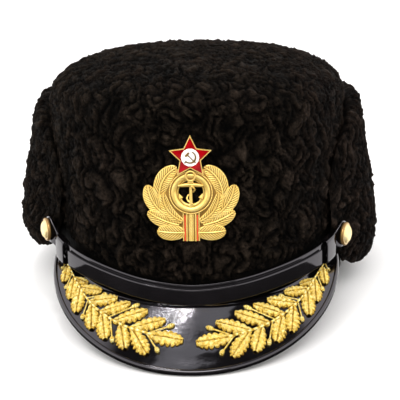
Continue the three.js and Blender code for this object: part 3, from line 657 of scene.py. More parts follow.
def smooth_curve(points, count):
    """A smooth curve through points, at even steps of its length."""
    p = np.asarray(points, float)
    ends = np.concatenate([[2 * p[0] - p[1]], p, [2 * p[-1] - p[-2]]])
    fine = []
    for a, b, c, d in zip(ends, ends[1:], ends[2:], ends[3:]):
        t = np.linspace(0, 1, 24, endpoint=False)[:, None]
        fine.append(0.5 * (2 * b + (c - a) * t + (2 * a - 5 * b + 4 * c - d) * t**2
                           + (3 * b - a - 3 * c + d) * t**3))
    fine = np.concatenate([*fine, [p[-1]]])
    length = run_length(fine)
    even = np.linspace(0, length[-1], count)
    return np.stack([np.interp(even, length, column) for column in fine.T], -1)


def flap_fur(material, rows, columns):
    corner = angle_at_reach(FLAP_CORNER_RUN)
    angle = even_angles(math.pi - corner, 2 * math.pi + corner, columns)
    ahead = -plan_points(angle)[:, 1]
    run = np.clip(ahead / FLAP_CORNER_RUN, 0, 1)
    table = np.array(FLAP_CORNER[::-1])
    low, high, thick = (np.interp(run, table[:, 0], table[:, k]) for k in (1, 2, 3))
    soften = np.hanning(2 * FLAP_SOFTEN + 1)
    soften /= soften.sum()
    low, high, thick = (
        np.convolve(np.pad(edge, FLAP_SOFTEN, mode="edge"), soften, "valid")
        for edge in (low, high, thick))
    hang = np.where(np.cos(angle) < 0, FLAP_HANG["left"], FLAP_HANG["right"])
    hang = hang * smooth_step(ahead, FLAP_HANG_START, FLAP_HANG_END)
    height = FLAP_TOP + FLAP_FOLD
    low = -FLAP_FOLD + height * (low + hang)
    high = -FLAP_FOLD + height * high
    scale = np.array([height, FLAP_BULGE])
    section = smooth_curve(np.array(FLAP_SECTION) * scale, rows) / scale
    up, out = section[:, :1], section[:, 1:]
    z = low + (high - low) * up
    stand_off = FLAP_CLEARANCE + out * FLAP_BULGE * thick
    base = wall_points(angle, stand_off, z)
    normal = grid_normals(base, False)
    value = curls(base + FLAP_PLACE, FLAP_CURL_STRETCH)
    ease = smooth_step(out, 0.05, 0.35) * np.clip(thick * 3, 0, 1)
    lift = (value - FLAP_LEVEL) * CURL_HEIGHT * ease
    grid = stand(base + normal * lift[..., None])
    grid[..., 2] = np.maximum(grid[..., 2], TABLE_GAP)
    # Painted shade: the colour value is low in the curls' creases.
    values = {"painted_fur_shade": value, "brown": brown_share(base)}
    made = mesh_object("flap_fur", grid, grid_faces(rows, columns), values)
    dress(made, material, "ear_flap")


# Peak

PEAK_SLOPE = math.atan2(PEAK_END_HEIGHT + PEAK_TIP_DROP, PEAK_REACH)
PEAK_LENGTH = math.hypot(PEAK_END_HEIGHT + PEAK_TIP_DROP, PEAK_REACH)
PEAK_FORWARD = np.array([0, -math.cos(PEAK_SLOPE), -math.sin(PEAK_SLOPE)])
PEAK_UP = np.array([0, -math.sin(PEAK_SLOPE), math.cos(PEAK_SLOPE)])
PEAK_ORIGIN = np.array([0, -PEAK_START, PEAK_END_HEIGHT])
PEAK_ROOT_ANGLE = angle_at_reach(PEAK_START + PEAK_ROOT_INSET)
# Low waves of the leather, highest round the middle
PEAK_WAVE_HEIGHT = 0.16
PEAK_WAVE_LEAST = 0.3
PEAK_WAVE_SIZE = 17
PEAK_WAVE_REACH = 34
# Worn leather beside the middle: its place, reach and end across the peak
WORN_X, WORN_REACH = -14, 16
WORN_END = (0.5, 0.75)
# Worn leather by the edge: its share, reach, place across and depth
WORN_EDGE_SHARE, WORN_EDGE_REACH = 0.5, 14
WORN_EDGE_PLACE, WORN_EDGE_DEPTH = 0.86, 0.08
EDGE_CENTRE = np.array([-0.5, -PEAK_THICKNESS / 2])
EDGE_HALF = np.array([1.4, 1.6])
EDGE_POWER = 2.4


def peak_rise(x, forward):
    radius = np.hypot(x / PEAK_HALF_WIDTH, forward / PEAK_LENGTH)
    return PEAK_DOME * (1 - radius**PEAK_DOME_POWER)


def peak_plane(x, forward, up):
    """Points at a height over the peak's flat plane."""
    side = np.stack([x, np.zeros_like(x), np.zeros_like(x)], -1)
    return side + PEAK_ORIGIN + PEAK_FORWARD * forward[..., None] + PEAK_UP * up[..., None]


def peak_points(x, forward, height):
    """Points at a height over the peak's domed face."""
    x, forward, height = np.broadcast_arrays(x, forward, height)
    return peak_plane(x, forward, peak_rise(x, forward) + height)


def peak_place(along, across):
    """Flat place on the peak. along is -1, 0 and 1 at its left end, front and right end,
    across is 0 at the crown and 1 at the edge."""
    along, across = np.broadcast_arrays(np.asarray(along, float), np.asarray(across, float))
    side = np.where(along < 0, -1, 1)
    turn = 1 - np.abs(along)
    root = wall_points(PEAK_ROOT_ANGLE + (math.pi / 2 - PEAK_ROOT_ANGLE) * turn, CLEARANCE, 0)
    forward = np.zeros_like(turn)
    for _ in range(12):
        lift = peak_rise(root[..., 0], forward) * math.sin(PEAK_SLOPE)
        forward = (-root[..., 1] - PEAK_START - lift) / math.cos(PEAK_SLOPE)
    edge_angle = math.pi / 2 * turn
    edge_x = PEAK_HALF_WIDTH * np.cos(edge_angle)
    edge_forward = PEAK_LENGTH * np.sin(edge_angle)
    x = side * (root[..., 0] + (edge_x - root[..., 0]) * across)
    return x, forward + (edge_forward - forward) * across


def peak_piece(material):
    along = np.linspace(-1, 1, 221)
    across = np.linspace(0, 1, 41)[:, None]
    x, forward = peak_place(along, across)
    wave = Noise(31)
    place = np.stack([x, forward, np.zeros_like(x)], -1) / PEAK_WAVE_SIZE
    middle = np.exp(-((x / PEAK_WAVE_REACH) ** 2))
    height = PEAK_WAVE_HEIGHT * wave(place) * (PEAK_WAVE_LEAST + middle)
    top = peak_points(x, forward, height)
    plumb = PEAK_THICKNESS * math.tan(PEAK_SLOPE)
    under = peak_points(x, forward, -PEAK_THICKNESS)
    under = under + PEAK_FORWARD * (plumb * (1 - across))[..., None]
    grid = np.concatenate([top, under[::-1]])
    worn = np.exp(-(((x - WORN_X) / WORN_REACH) ** 2)) * (1 - smooth_step(across, *WORN_END))
    edge = (x / WORN_EDGE_REACH) ** 2 + ((across - WORN_EDGE_PLACE) / WORN_EDGE_DEPTH) ** 2
    worn = worn + WORN_EDGE_SHARE * np.exp(-edge)
    values = {"grain": np.concatenate([worn, np.zeros_like(worn)])}
    grid_piece("peak_patent", grid, False, material, "peak", values)


def rounded(center, half, power, count):
    """A closed outline: an ellipse at power 2, nearer to a rectangle at a higher one."""
    c = circle(full_turn(count))
    return center + half * np.sign(c) * np.abs(c) ** (2 / power)


def edge_piece(material):
    angle = np.linspace(math.pi, 0, 241)
    out = circle(angle) / (PEAK_HALF_WIDTH, PEAK_LENGTH)
    steep = np.linalg.norm(out, axis=1)
    slope = PEAK_DOME * PEAK_DOME_POWER * steep
    out /= steep[:, None]
    section = rounded(EDGE_CENTRE, EDGE_HALF, EDGE_POWER, 20)
    x = PEAK_HALF_WIDTH * np.cos(angle)[:, None] + out[:, :1] * section[:, 0]
    forward = PEAK_LENGTH * np.sin(angle)[:, None] + out[:, 1:] * section[:, 0]
    up = section[:, 1] - slope[:, None] * section[:, 0]
    grid = peak_plane(x, forward, up)
    grid_piece("peak_rolled_edge", grid, True, material, "peak_edge")


# Chin strap

STRAP_CORNER_POWER = 9
STRAP_FACE_DOME = 0.06
KEEPER_EDGE_POWER = 5
KEEPER_LOOP_POWER = 7


def strap_stand_off(front_angle):
    past = smooth_step(np.abs(front_angle), KEEPER_ANGLE * STRAP_STEP_START, KEEPER_ANGLE)
    return CLEARANCE + (CLEARANCE + KEEPER_THICKNESS + STRAP_STEP) * past


def band_grid(front_angle, stand_off, low, high):
    """A strap along the crown's wall, from arrays along its length."""
    section = rounded(0, 1, STRAP_CORNER_POWER, 36)
    angle = np.radians(90 - np.asarray(front_angle))[:, None]
    middle = ((low + high) / 2)[:, None]
    half = ((high - low) / 2)[:, None]
    out = stand_off[:, None] + STRAP_THICKNESS * (0.5 + 0.5 * section[:, 0])
    out = out + STRAP_FACE_DOME * (section[:, 0] > 0) * (1 - section[:, 1] ** 2)
    return wall_points(angle, out, middle + half * section[:, 1])


# End of the inner strap: turn, up and out are shares of the way from the keeper to the
# button, half is a share of the tab's radius
STRAP_TAB = [
    (0.4, 0.01, 0.01, 0.66), (0.54, 0.3, 0.3, 0.64), (0.72, 0.72, 0.72, 0.78),
    (0.88, 0.96, 0.96, 0.97), (1, 1, 1, 1), (1.25, 1.02, 1.06, 0.86),
    (1.42, 1.02, 1.1, 0.6), (1.52, 1.02, 1.12, 0.1),
]


def inner_strap(material):
    run = np.linspace(-KEEPER_ANGLE, KEEPER_ANGLE, 141)
    low = strap_low(run) + STRAP_STEP_UP
    rows = [(a, strap_stand_off(a), b, b + STRAP_WIDTH) for a, b in zip(run, low)]
    seat = BUTTON_STAND_OFF - CLEARANCE - STRAP_THICKNESS
    base = strap_stand_off(KEEPER_ANGLE)
    middle = strap_low(KEEPER_ANGLE) + STRAP_STEP_UP + STRAP_WIDTH / 2
    for end in STRAP_ENDS.values():
        first = [(0, 0, 0, STRAP_WIDTH / 2 / STRAP_TAB_RADIUS)]
        tab = smooth_curve(first + STRAP_TAB, 40)[1:]
        tail = []
        for turn, up, out, half in tab:
            angle = end["sign"] * (KEEPER_ANGLE + (end["angle"] - KEEPER_ANGLE) * turn)
            centre = middle + (end["height"] - middle) * up
            reach = STRAP_TAB_RADIUS * half
            tail.append((angle, base + (seat - base) * out, centre - reach, centre + reach))
        rows = tail[::-1] + rows if end["sign"] < 0 else rows + tail
    grid = band_grid(*np.array(rows).T)
    grid_piece("strap_inner_patent", grid, True, material, "strap_inner")


def outer_strap(material):
    run = np.linspace(-OUTER_STRAP_END, OUTER_STRAP_END, 141)
    low = strap_low(run)
    stand_off = strap_stand_off(run) + STRAP_THICKNESS + CLEARANCE
    grid = band_grid(run, stand_off, low, low + STRAP_WIDTH)
    grid_piece("strap_outer_patent", grid, True, material, "strap_outer")


def keeper(material, name, sign):
    """A flat loop round both straps."""
    half_turn = math.degrees(KEEPER_WIDTH / 2 / HEAD_FRONT_REACH)
    section = rounded(0, 1, KEEPER_EDGE_POWER, 16)
    front = KEEPER_ANGLE + half_turn * section[:, 0]
    thick = KEEPER_THICKNESS * (0.5 + 0.5 * section[:, 1])
    depth = 2 * STRAP_THICKNESS + 2 * CLEARANCE
    height = STRAP_WIDTH + STRAP_STEP_UP + CLEARANCE
    loop = rounded(0, 1, KEEPER_LOOP_POWER, 56)
    out_center, out_half = (depth - CLEARANCE) / 2, (depth + CLEARANCE) / 2
    up_center, up_half = (height - CLEARANCE) / 2, (height + CLEARANCE) / 2
    out = out_center + loop[:, :1] * (out_half + thick)
    up = up_center + loop[:, 1:] * (up_half + thick)
    stand_off = strap_stand_off(front) + out
    z = strap_low(front) + up
    grid = wall_points(np.radians(90 - sign * front), stand_off, z)
    grid = np.concatenate([grid, grid[:1]])
    grid_piece(name + "_patent", grid, True, material, name)


# Buttons

# Painted shade on a button's gilt towards its rim
BUTTON_RIM_PAINTED_SHADE = 0.85
# Half section of a button, as shares of its radius and depth, from its back to its top
BUTTON_PROFILE = [
    (0.001, -0.02), (0.5, -0.02), (0.86, 0), (0.97, 0.06), (1, 0.2), (0.985, 0.36), (0.93, 0.47),
    (0.87, 0.46), (0.83, 0.43), (0.8, 0.48), (0.7, 0.68), (0.52, 0.86), (0.28, 0.97), (0.001, 1),
]


def button(material, name, end):
    profile = smooth_curve(np.array(BUTTON_PROFILE) * (BUTTON_RADIUS, BUTTON_DEPTH), 46)
    turn = full_turn(64)
    angle = math.radians(90 - end["sign"] * end["angle"])
    out = plan_normals(angle)
    seat = wall_points(angle, BUTTON_STAND_OFF, end["height"])
    side = np.array([-out[1], out[0], 0])
    normal = np.array([out[0], out[1], 0])
    radius = np.maximum(profile[:, :1], 0.004)
    across = (radius * np.cos(turn))[..., None] * side
    up = (radius * np.sin(turn))[..., None] * np.array([0, 0, 1])
    grid = seat + across + up + normal * profile[:, 1][:, None, None]
    rim = smooth_step(radius[:, 0], 0.72 * BUTTON_RADIUS, 0.95 * BUTTON_RADIUS)
    values = {"gilt_painted_shade": np.repeat(BUTTON_RIM_PAINTED_SHADE * rim, len(turn))}
    grid_piece(name + "_gilt", grid, True, material, name, values)


# Oak sprays

# Places on the peak are along and across it. A leaf leaves the stem at its first number
# and has its tip's place and its size, an acorn the same without a size. A side has its
# sign and the shift of its places.
SPRAY_LEAVES = [
    (0.775, 0.672, 0.14, 0.62), (0.7, 0.55, 0.12, 0.86), (0.58, 0.43, 0.12, 0.95),
    (0.485, 0.338, 0.14, 0.95), (0.392, 0.225, 0.205, 1), (0.294, 0.12, 0.32, 1),
    (0.19, 0.028, 0.615, 1.1016), (0.89, 0.795, 0.7, 0.72), (0.778, 0.678, 0.77, 0.88),
    (0.686, 0.598, 0.85, 0.95), (0.555, 0.477, 0.88, 0.98), (0.47, 0.392, 0.89, 1),
    (0.348, 0.288, 0.895, 1), (0.28, 0.184, 0.874, 1.02),
]
SPRAY_ACORNS = [
    (0.61, 0.51, 0.13), (0.433, 0.284, 0.13), (0.21, 0.075, 0.385), (0.816, 0.752, 0.75),
    (0.592, 0.552, 0.85), (0.41, 0.354, 0.875), (0.202, 0.135, 0.81), (0.925, 0.885, 0.6),
]
SPRAY_STEM = [
    (0.93, 0.28), (0.784, 0.31), (0.7, 0.385), (0.6, 0.46), (0.5, 0.51), (0.4, 0.545),
    (0.3, 0.56), (0.17, 0.585),
]
SPRAY_SIDES = {
    "oak_spray_left": (-1, 0.004, -0.036),
    "oak_spray_right": (1, -0.012, -0.004),
}
LEAF_WIDTH = 8.9
LEAF_LOBES, SMALL_LEAF_LOBES = 6.4, 4.9
# Size up to which a leaf has fewer lobes
SMALL_LEAF = 0.8
# Relief of a leaf: its edge and its middle, the notches, the vein and the stitches
LEAF_EDGE, LEAF_MIDDLE, LEAF_NOTCH = 0.15, 1.45, 0.22
VEIN_WIDTH, VEIN_DEPTH = 0.42, 0.55
STITCH_PITCH, STITCH_HEIGHT = 1.15, 0.16
# Acorns: place, half length and start of the nut, as shares of the stalk's length
ACORN_MIDDLE, ACORN_HALF, ACORN_START = 0.86, 0.14, 0.7
ACORN_RADIUS, STALK_RADIUS = 1.28, 0.42
ACORN_LIFT, ACORN_STITCHES = 0.7, 90
STEM_RADII = (0.42, 0.6)
STEM_LIFT, STEM_STITCHES, STEM_POINTS = 1.55, 150, 160
# Painted shade of the acorns and the stem
CORD_PAINTED_SHADE = 0.55


def leaf_outline(t, lobes):
    """Half width of an oak leaf at t along it, as a share of its greatest."""
    body = np.sin(math.pi * np.clip(t * 0.93 + 0.035, 0, 1)) ** 0.62
    scallop = np.abs(np.sin(math.pi * (t * lobes + 0.12))) ** 0.6
    return body * (0.63 + 0.42 * scallop)


def spray_leaf(base, tip, half, lobes):
    """Grids of one embroidered leaf in flat coordinates, with its height, stitches and painted
    shade.
    """
    t = np.linspace(0, 1, 57)[:, None]
    s = np.linspace(-1, 1, 25)
    along = np.subtract(tip, base)
    length = np.hypot(*along)
    along = along / length
    side = np.array([-along[1], along[0]])
    width = leaf_outline(t, lobes) * half
    sweep = 0.07 * np.abs(s) * np.sin(math.pi * t)
    place = np.asarray(base) + along * (length * (t + sweep - 0.02))[..., None]
    place = place + side * (width * s)[..., None]
    dome = round_top(s, 0.8)
    vein = np.exp(-((s * width / VEIN_WIDTH) ** 2))
    swept = t - 0.1 * np.abs(s)
    notch = np.abs(np.sin(math.pi * (swept * lobes + 0.12))) ** 0.5
    bump = (1 - LEAF_NOTCH + LEAF_NOTCH * notch) * dome
    height = LEAF_EDGE + LEAF_MIDDLE * bump - VEIN_DEPTH * vein * (t < 0.93)
    stitch = np.sin(2 * math.pi * (length * t - 0.9 * width * np.abs(s)) / STITCH_PITCH)
    height = height + STITCH_HEIGHT * stitch * dome
    # Painted light and shade: lighter on the leaf's dome, darker at its edges, notches and vein.
    shade = np.clip(0.05 + 0.62 * bump - 0.5 * vein, 0, 1)
    return place, height, stitch, shade


def tube_grid(path, radius, count=10, twist=0.0, ripple=0.0):
    """A round tube along a flat path, with its height, as a cord laid on the surface."""
    turn = full_turn(count)
    wave = 1 + ripple * np.sin(turn * 2 + twist * run_length(path)[:, None])
    r = np.broadcast_to(radius, len(path))[:, None] * wave
    side = left_of(np.gradient(path, axis=0))
    return path[:, None] + side[:, None] * (r * np.cos(turn))[..., None], r * np.sin(turn)


def stem_across(a):
    table = np.array(SPRAY_STEM[::-1])
    return np.interp(a, table[:, 0], table[:, 1])


def spray_piece(material, name, sign, shift_a, shift_b):
    def place(a, b):
        x, forward = peak_place(sign * (a + shift_a), b + shift_b * (1 - a))
        return np.array([float(x), float(forward)])

    grids, wraps, stitches, shades = [], [], [], []

    def add(flat, height, stitch, shade, wrap):
        grids.append(peak_points(flat[..., 0], flat[..., 1], height + CLEARANCE))
        wraps.append(wrap)
        stitches.append(np.broadcast_to(stitch, height.shape).ravel())
        shades.append(np.broadcast_to(shade, height.shape).ravel())

    for a, to_a, to_b, size in SPRAY_LEAVES:
        lobes = LEAF_LOBES if size > SMALL_LEAF else SMALL_LEAF_LOBES
        half = size * LEAF_WIDTH / 2
        add(*spray_leaf(place(a, stem_across(a)), place(to_a, to_b), half, lobes), False)
    for a, to_a, to_b in SPRAY_ACORNS:
        base, tip = place(a, stem_across(a)), place(to_a, to_b)
        t = np.linspace(0, 1, 46)[:, None]
        path = base + (tip - base) * t
        nut = np.sqrt(np.clip(1 - ((t[:, 0] - ACORN_MIDDLE) / ACORN_HALF) ** 2, 0, 1))
        radius = np.maximum(STALK_RADIUS, ACORN_RADIUS * nut * (t[:, 0] > ACORN_START))
        flat, height = tube_grid(path, radius, 12, twist=6, ripple=0.1)
        add(flat, height + ACORN_LIFT, np.sin(t * ACORN_STITCHES), CORD_PAINTED_SHADE, True)
    stem = smooth_curve([place(a, b) for a, b in SPRAY_STEM], STEM_POINTS)
    radius = np.linspace(*STEM_RADII, STEM_POINTS)
    flat, height = tube_grid(stem, radius, 14, twist=5, ripple=0.2)
    # Painted highlights and shade along the stem's twist
    twist = np.sin(np.linspace(0, STEM_STITCHES, STEM_POINTS))[:, None]
    add(flat, height + STEM_LIFT, twist, CORD_PAINTED_SHADE + 0.15 * twist, True)
    points, faces = join_grids(grids, wraps)
    values = {"stitch": np.concatenate(stitches), "painted_relief_shade": np.concatenate(shades)}
    made = mesh_object(name + "_thread", stand(points), faces, values)
    dress(made, material, name)


# Badge


def on_front(flat, height):
    """Points of the badge: flat is x and y from the ring's centre, height is outwards."""
    x = flat[..., 0]
    front = HEAD_FRONT_REACH + CROWN_WALL + CLEARANCE
    y = -(front + height) + BADGE_BEND * x * x
    return np.stack([x, y, BADGE_HEIGHT + flat[..., 1]], -1)


# Leaves of the wreath's right half, as shares of the ring's outer radius, from the
# lowest layer up: start, tip, bend, half width and ridge
WREATH_LEAVES = [
    (1.42, -0.28, 0.6, 1.15, -0.15, 0.37, 0.52),
    (1.12, -1.05, 1.93, 0.33, -0.13, 0.36, 0.55),
    (0.55, -1.5, 1.96, -0.9, -0.06, 0.35, 0.58),
    (0.3, -1.85, 1.55, -1.79, -0.03, 0.38, 0.62),
    (0.4, -1.32, 1.24, 0, -0.17, 0.26, 0.7),
]


# How far the plate behind the leaves reaches: angle and share of the ring's outer radius
WREATH_BACK = [
    (-86, 2.18), (-66, 2.1), (-46, 2.0), (-23, 1.85), (-8, 1.75), (7, 1.5), (35, 1.5), (62, 1.2),
]
LEAF_OUTLINE = [(0, 0.5), (0.2, 0.82), (0.5, 1), (0.74, 0.9), (0.9, 0.62), (0.97, 0.34), (1, 0.06)]
# Relief of a leaf: edges of its midrib and of the hatched part, from the midrib and from
# the leaf's edge, and the channel beside the midrib
MIDRIB_EDGE = (0.3, 0.5)
HATCH_START, HATCH_END = (0.5, 0.7), (0.75, 0.45)
HATCH_PITCH, HATCH_DEPTH = 1.55, 0.3
CHANNEL_PLACE, CHANNEL_WIDTH, CHANNEL_DEPTH = 0.62, 0.16, 0.2
# Share of a leaf's or rib's half width at which its edge goes down to the badge's back
RELIEF_END = 0.999


def wreath_leaf(leaf, side):
    """One leaf of the badge: its midrib, the fine hatch lines beside it and its border, with
    painted shade in the hatch lines, the channel and along the border.
    """
    x, y, to_x, to_y, bend, half, ridge = leaf
    base = np.array([side * x, y]) * RING_OUTER
    tip = np.array([side * to_x, to_y]) * RING_OUTER
    t = np.linspace(0, 1, 111)[:, None]
    s = np.linspace(-1, 1, 41)
    along = tip - base
    length = np.hypot(*along)
    across = np.array([-along[1], along[0]]) * side
    spine = base + along * t + across * bend * 4 * t * (1 - t)
    outline = smooth_curve(LEAF_OUTLINE, 80)
    width = half * RING_OUTER * np.interp(t, outline[:, 0], outline[:, 1])
    side = left_of(np.gradient(spine, axis=0))
    place = spine[:, None] + side[:, None] * (width * s)[..., None]
    away = np.abs(s) * width
    dome = round_top(s, 0.7)
    vein = 1 - smooth_step(away, *MIDRIB_EDGE)
    border = [width - gap for gap in HATCH_END]
    inside = smooth_step(away, *HATCH_START) * (1 - smooth_step(away, *border))
    hatch = np.abs(np.sin(math.pi * (length * t - 1.1 * away) / HATCH_PITCH))
    line = (1 - smooth_step(hatch, 0.2, 0.8)) * inside
    channel = np.exp(-(((away - CHANNEL_PLACE) / CHANNEL_WIDTH) ** 2))
    height = (RING_RELIEF * ridge - 0.2) * (0.6 + 0.4 * dome) + 0.2 * vein
    height = height - CHANNEL_DEPTH * channel - HATCH_DEPTH * line
    height = np.where(np.abs(s) > RELIEF_END, 0.1, height)
    # Painted shade in the hatch lines and the channel, and along the leaf's border
    gilt_painted_shade = np.clip(line + 0.8 * channel, 0, 1)
    return on_front(place, height), np.where(np.abs(s) > 0.96, 0.8, gilt_painted_shade)


def wreath_back(side):
    table = np.array(WREATH_BACK)
    turn = np.linspace(table[0, 0], table[-1, 0], 60)
    reach = np.interp(turn, table[:, 0], table[:, 1]) * RING_OUTER
    rim = circle(np.radians(turn)) * (side, 1)
    rows = [RING_OUTER * 0.95 * rim, reach[:, None] * rim, reach[:, None] * rim]
    height = np.array([BADGE_PLATE, BADGE_PLATE, 0])[:, None] * np.ones(len(turn))
    return on_front(np.stack(rows), height)


# Section of the ring: radius, height and painted shade, darkest in its hollows and at its edges
RING_SECTION = [
    (6.6, 0, 0.9), (6.6, 0.9, 0.9), (6.9, 1.5, 0.2), (7.3, 1.65, 0.1), (7.6, 1.5, 0.9),
    (7.9, 2.1, 0.2), (8.4, 2.6, 0), (9.4, 2.95, 0), (10.3, 2.9, 0), (10.7, 2.6, 0.8),
    (11, 2.2, 1), (11.25, 2.3, 0.8), (11.5, 2.6, 0), (11.85, 2.45, 0.2), (12.15, 1.7, 0.9),
    (12.25, 0, 1),
]
# Beads round the ring: their number, radius on the ring, half width, height and the painted shade
# between them
BEADS = 84
BEAD_RADIUS, BEAD_HALF, BEAD_HEIGHT, BEAD_GAP_PAINTED_SHADE = 11.65, 0.35, 0.16, 0.3


def ring_grid():
    section = np.array(RING_SECTION)
    turn = full_turn(BEADS * 6)
    flat = section[:, :1, None] * circle(turn)
    rim = np.exp(-(((section[:, :1] - BEAD_RADIUS) / BEAD_HALF) ** 2))
    wave = np.cos(turn * BEADS)
    height = section[:, 1:2] + BEAD_HEIGHT * rim * wave
    return on_front(flat, height), section[:, 2:] + BEAD_GAP_PAINTED_SHADE * rim * (0.5 - wave / 2)


# Anchor: number of sides of its bars, and their places from the ring's centre, radii and
# heights over the badge's back
BAR_SIDES = 14
EYE_Y, EYE_RADIUS, EYE_WIRE, EYE_HEIGHT = 9.6, 2.6, 0.62, 3.2
# The eye's disc: radius, heights and painted shade from its centre to its edge
EYE_DISC_RADIUS, EYE_DISC_HEIGHTS, EYE_DISC_PAINTED_SHADES = 2.1, (2.3, 2.5), (0.35, 0.9)
KNOT_HALF, KNOT_Y, KNOT_RADIUS, KNOT_HEIGHT = 1.7, 6.1, 0.8, 2.6
STOCK_HALF, STOCK_Y, STOCK_SAG, STOCK_HEIGHT = 6.8, 4.5, 0.7, 1.7
SHANK_ENDS, SHANK_RADII, SHANK_HEIGHT = (6.6, -7.8), (0.7, 1.2), 1.6
ARM_ANGLES, ARM_HEIGHT = (1.12 * math.pi, 1.88 * math.pi), 1.5
FLUKE_FOOT, FLUKE_TIP, FLUKE_HEIGHT = (4.9, -4.4), (6.5, -0.4), 1.7
ROPE_REACH, ROPE_TOP, ROPE_LENGTH, ROPE_TURNS = 2.1, 4.2, 11, 2.3


def badge_piece(material):
    grids, wraps, gilt_painted_shades = [], [], []
    # Painted shade on the flanks of each bar, where it goes down to the badge's back
    outline = 0.1 + 0.8 * np.abs(np.cos(full_turn(BAR_SIDES))) ** 3

    def add(grid, wrap, gilt_painted_shade=0.0):
        grids.append(grid)
        wraps.append(wrap)
        gilt_painted_shades.append(np.broadcast_to(gilt_painted_shade, grid.shape[:2]).ravel())

    def bar(path, radii, height, flatten=1.0):
        flat, up = tube_grid(path, radii, BAR_SIDES)
        add(on_front(flat, height + up * flatten), True, outline)

    for side in (-1, 1):
        # Painted shade on the back plate between the leaves
        add(wreath_back(side), False, 0.8)
        for leaf in WREATH_LEAVES:
            grid, gilt_painted_shade = wreath_leaf(leaf, side)
            add(grid, False, gilt_painted_shade)
    grid, gilt_painted_shade = ring_grid()
    add(grid, True, gilt_painted_shade)
    eye = circle(np.linspace(0, 2 * math.pi, 48))
    bar(EYE_RADIUS * eye + (0, EYE_Y), EYE_WIRE, EYE_HEIGHT)
    # Painted shade on the eye's disc, darker towards its edge
    disc = np.linspace(0.01, EYE_DISC_RADIUS, 8)[:, None, None] * eye
    bowl = np.linspace(*EYE_DISC_HEIGHTS, 8)[:, None] * np.ones(48)
    shade = np.linspace(*EYE_DISC_PAINTED_SHADES, 8)[:, None]
    add(on_front(disc + (0, EYE_Y), bowl), False, shade)
    reach = np.linspace(-1, 1, 40)
    knot = np.stack([KNOT_HALF * reach, np.full(40, KNOT_Y)], -1)
    bar(knot, KNOT_RADIUS * (1 - reach**8) + 0.02, KNOT_HEIGHT)
    stock = np.stack([STOCK_HALF * reach, STOCK_Y - STOCK_SAG * reach**2], -1)
    bar(stock, 0.75 + 0.55 * (1 - reach**2), STOCK_HEIGHT)
    shank = np.stack([np.zeros(30), np.linspace(*SHANK_ENDS, 30)], -1)
    bar(shank, np.linspace(*SHANK_RADII, 30), SHANK_HEIGHT)
    bend = np.linspace(*ARM_ANGLES, 50)
    arms = np.stack([6.15 * np.cos(bend), -0.8 + 6.3 * np.sin(bend)], -1)
    bar(arms, 0.4 + 0.85 * np.sin(np.linspace(0, math.pi, 50)) ** 2, ARM_HEIGHT)
    barb = np.interp(np.linspace(0, 1, 16), [0, 0.25, 0.3, 1], [0.35, 0.45, 1.6, 0.05])
    for side in (-1, 1):
        fluke = np.linspace(FLUKE_FOOT, FLUKE_TIP, 16) * (side, 1)
        bar(fluke, barb, FLUKE_HEIGHT, flatten=0.5)
    t = np.linspace(0, 1, 110)
    swing = t * ROPE_TURNS * math.pi
    rope = np.stack([ROPE_REACH * np.sin(swing), ROPE_TOP - ROPE_LENGTH * t], -1)
    over = 1.7 + 1.2 * np.cos(swing)
    flat, up = tube_grid(rope, 0.5, 10, twist=4, ripple=0.16)
    # Light painted shade on the rope
    add(on_front(flat, over[:, None] + up), True, 0.1)
    for grid, gilt_painted_shade in band_grids():
        add(grid, False, gilt_painted_shade)
    points, faces = join_grids(grids, wraps)
    made = mesh_object("badge_gilt", stand(points), faces, {"gilt_painted_shade": np.concatenate(gilt_painted_shades)})
    dress(made, material, "badge_wreath")


# Ribs of the band: left and right edge, height and depth of their plaiting
BAND_RIBS = [
    (-1.8, 1.8, 2.05, 0.32), (1.95, 2.9, 2.35, 0), (-2.9, -1.95, 2.35, 0),
    (3.85, 4.75, 2.05, 0.14), (-4.75, -3.85, 2.05, 0.14),
]
BAND_TOP = -11.0
PLAIT_PITCH, PLAIT_SLANT = 0.85, 0.8


def band_grids():
    """Upright band below the ring: plaited middle rib and smooth ribs beside it, with painted shade
    in the plait's creases, at the ribs' edges and on the plate behind them.
    """
    grids = []
    y = np.linspace(-BADGE_BOTTOM, BAND_TOP, 150)[:, None]
    for low, high, top, plait in BAND_RIBS:
        s = np.linspace(-1, 1, 17)
        x = (low + high) / 2 + (high - low) / 2 * s
        dome = round_top(s, 0.5)
        weave = np.abs(np.sin(math.pi * (y + PLAIT_SLANT * np.abs(x)) / PLAIT_PITCH))
        height = top * (0.6 + 0.4 * dome) + plait * (weave - 0.5) * dome
        flat = np.stack(np.broadcast_arrays(x, y), -1)
        # Painted shade in the plait's creases and towards each rib's edges
        creases = 0.9 * (plait > 0) * (1 - smooth_step(weave, 0.1, 0.7))
        gilt_painted_shade = np.clip(creases + 0.7 * (1 - dome), 0, 1)
        grids.append((on_front(flat, height * (np.abs(s) < RELIEF_END)), gilt_painted_shade))
    ends, sides = (-BADGE_BOTTOM, BAND_TOP), (-BAND_HALF_WIDTH, BAND_HALF_WIDTH)
    y, x = np.meshgrid(ends, sides, indexing="ij")
    # Painted shade on the plate behind the ribs
    grids.append((on_front(np.stack([x, y], -1), np.full(x.shape, BADGE_PLATE)), 0.7))
    return grids


# Floor, light and camera

# Light of the walls by the height they are seen at, from -1 straight down to 1 straight up
CEILING_AXIS = (0.02, 0, 1)
WALLS = [
    (0.0, (1.0, 0.99, 0.97)), (0.5, (1.0, 0.99, 0.97)), (0.91, (0.95, 0.92, 0.93)),
    (0.945, (0.03, 0.03, 0.03)),
]
WALL_STRENGTH = 1.65

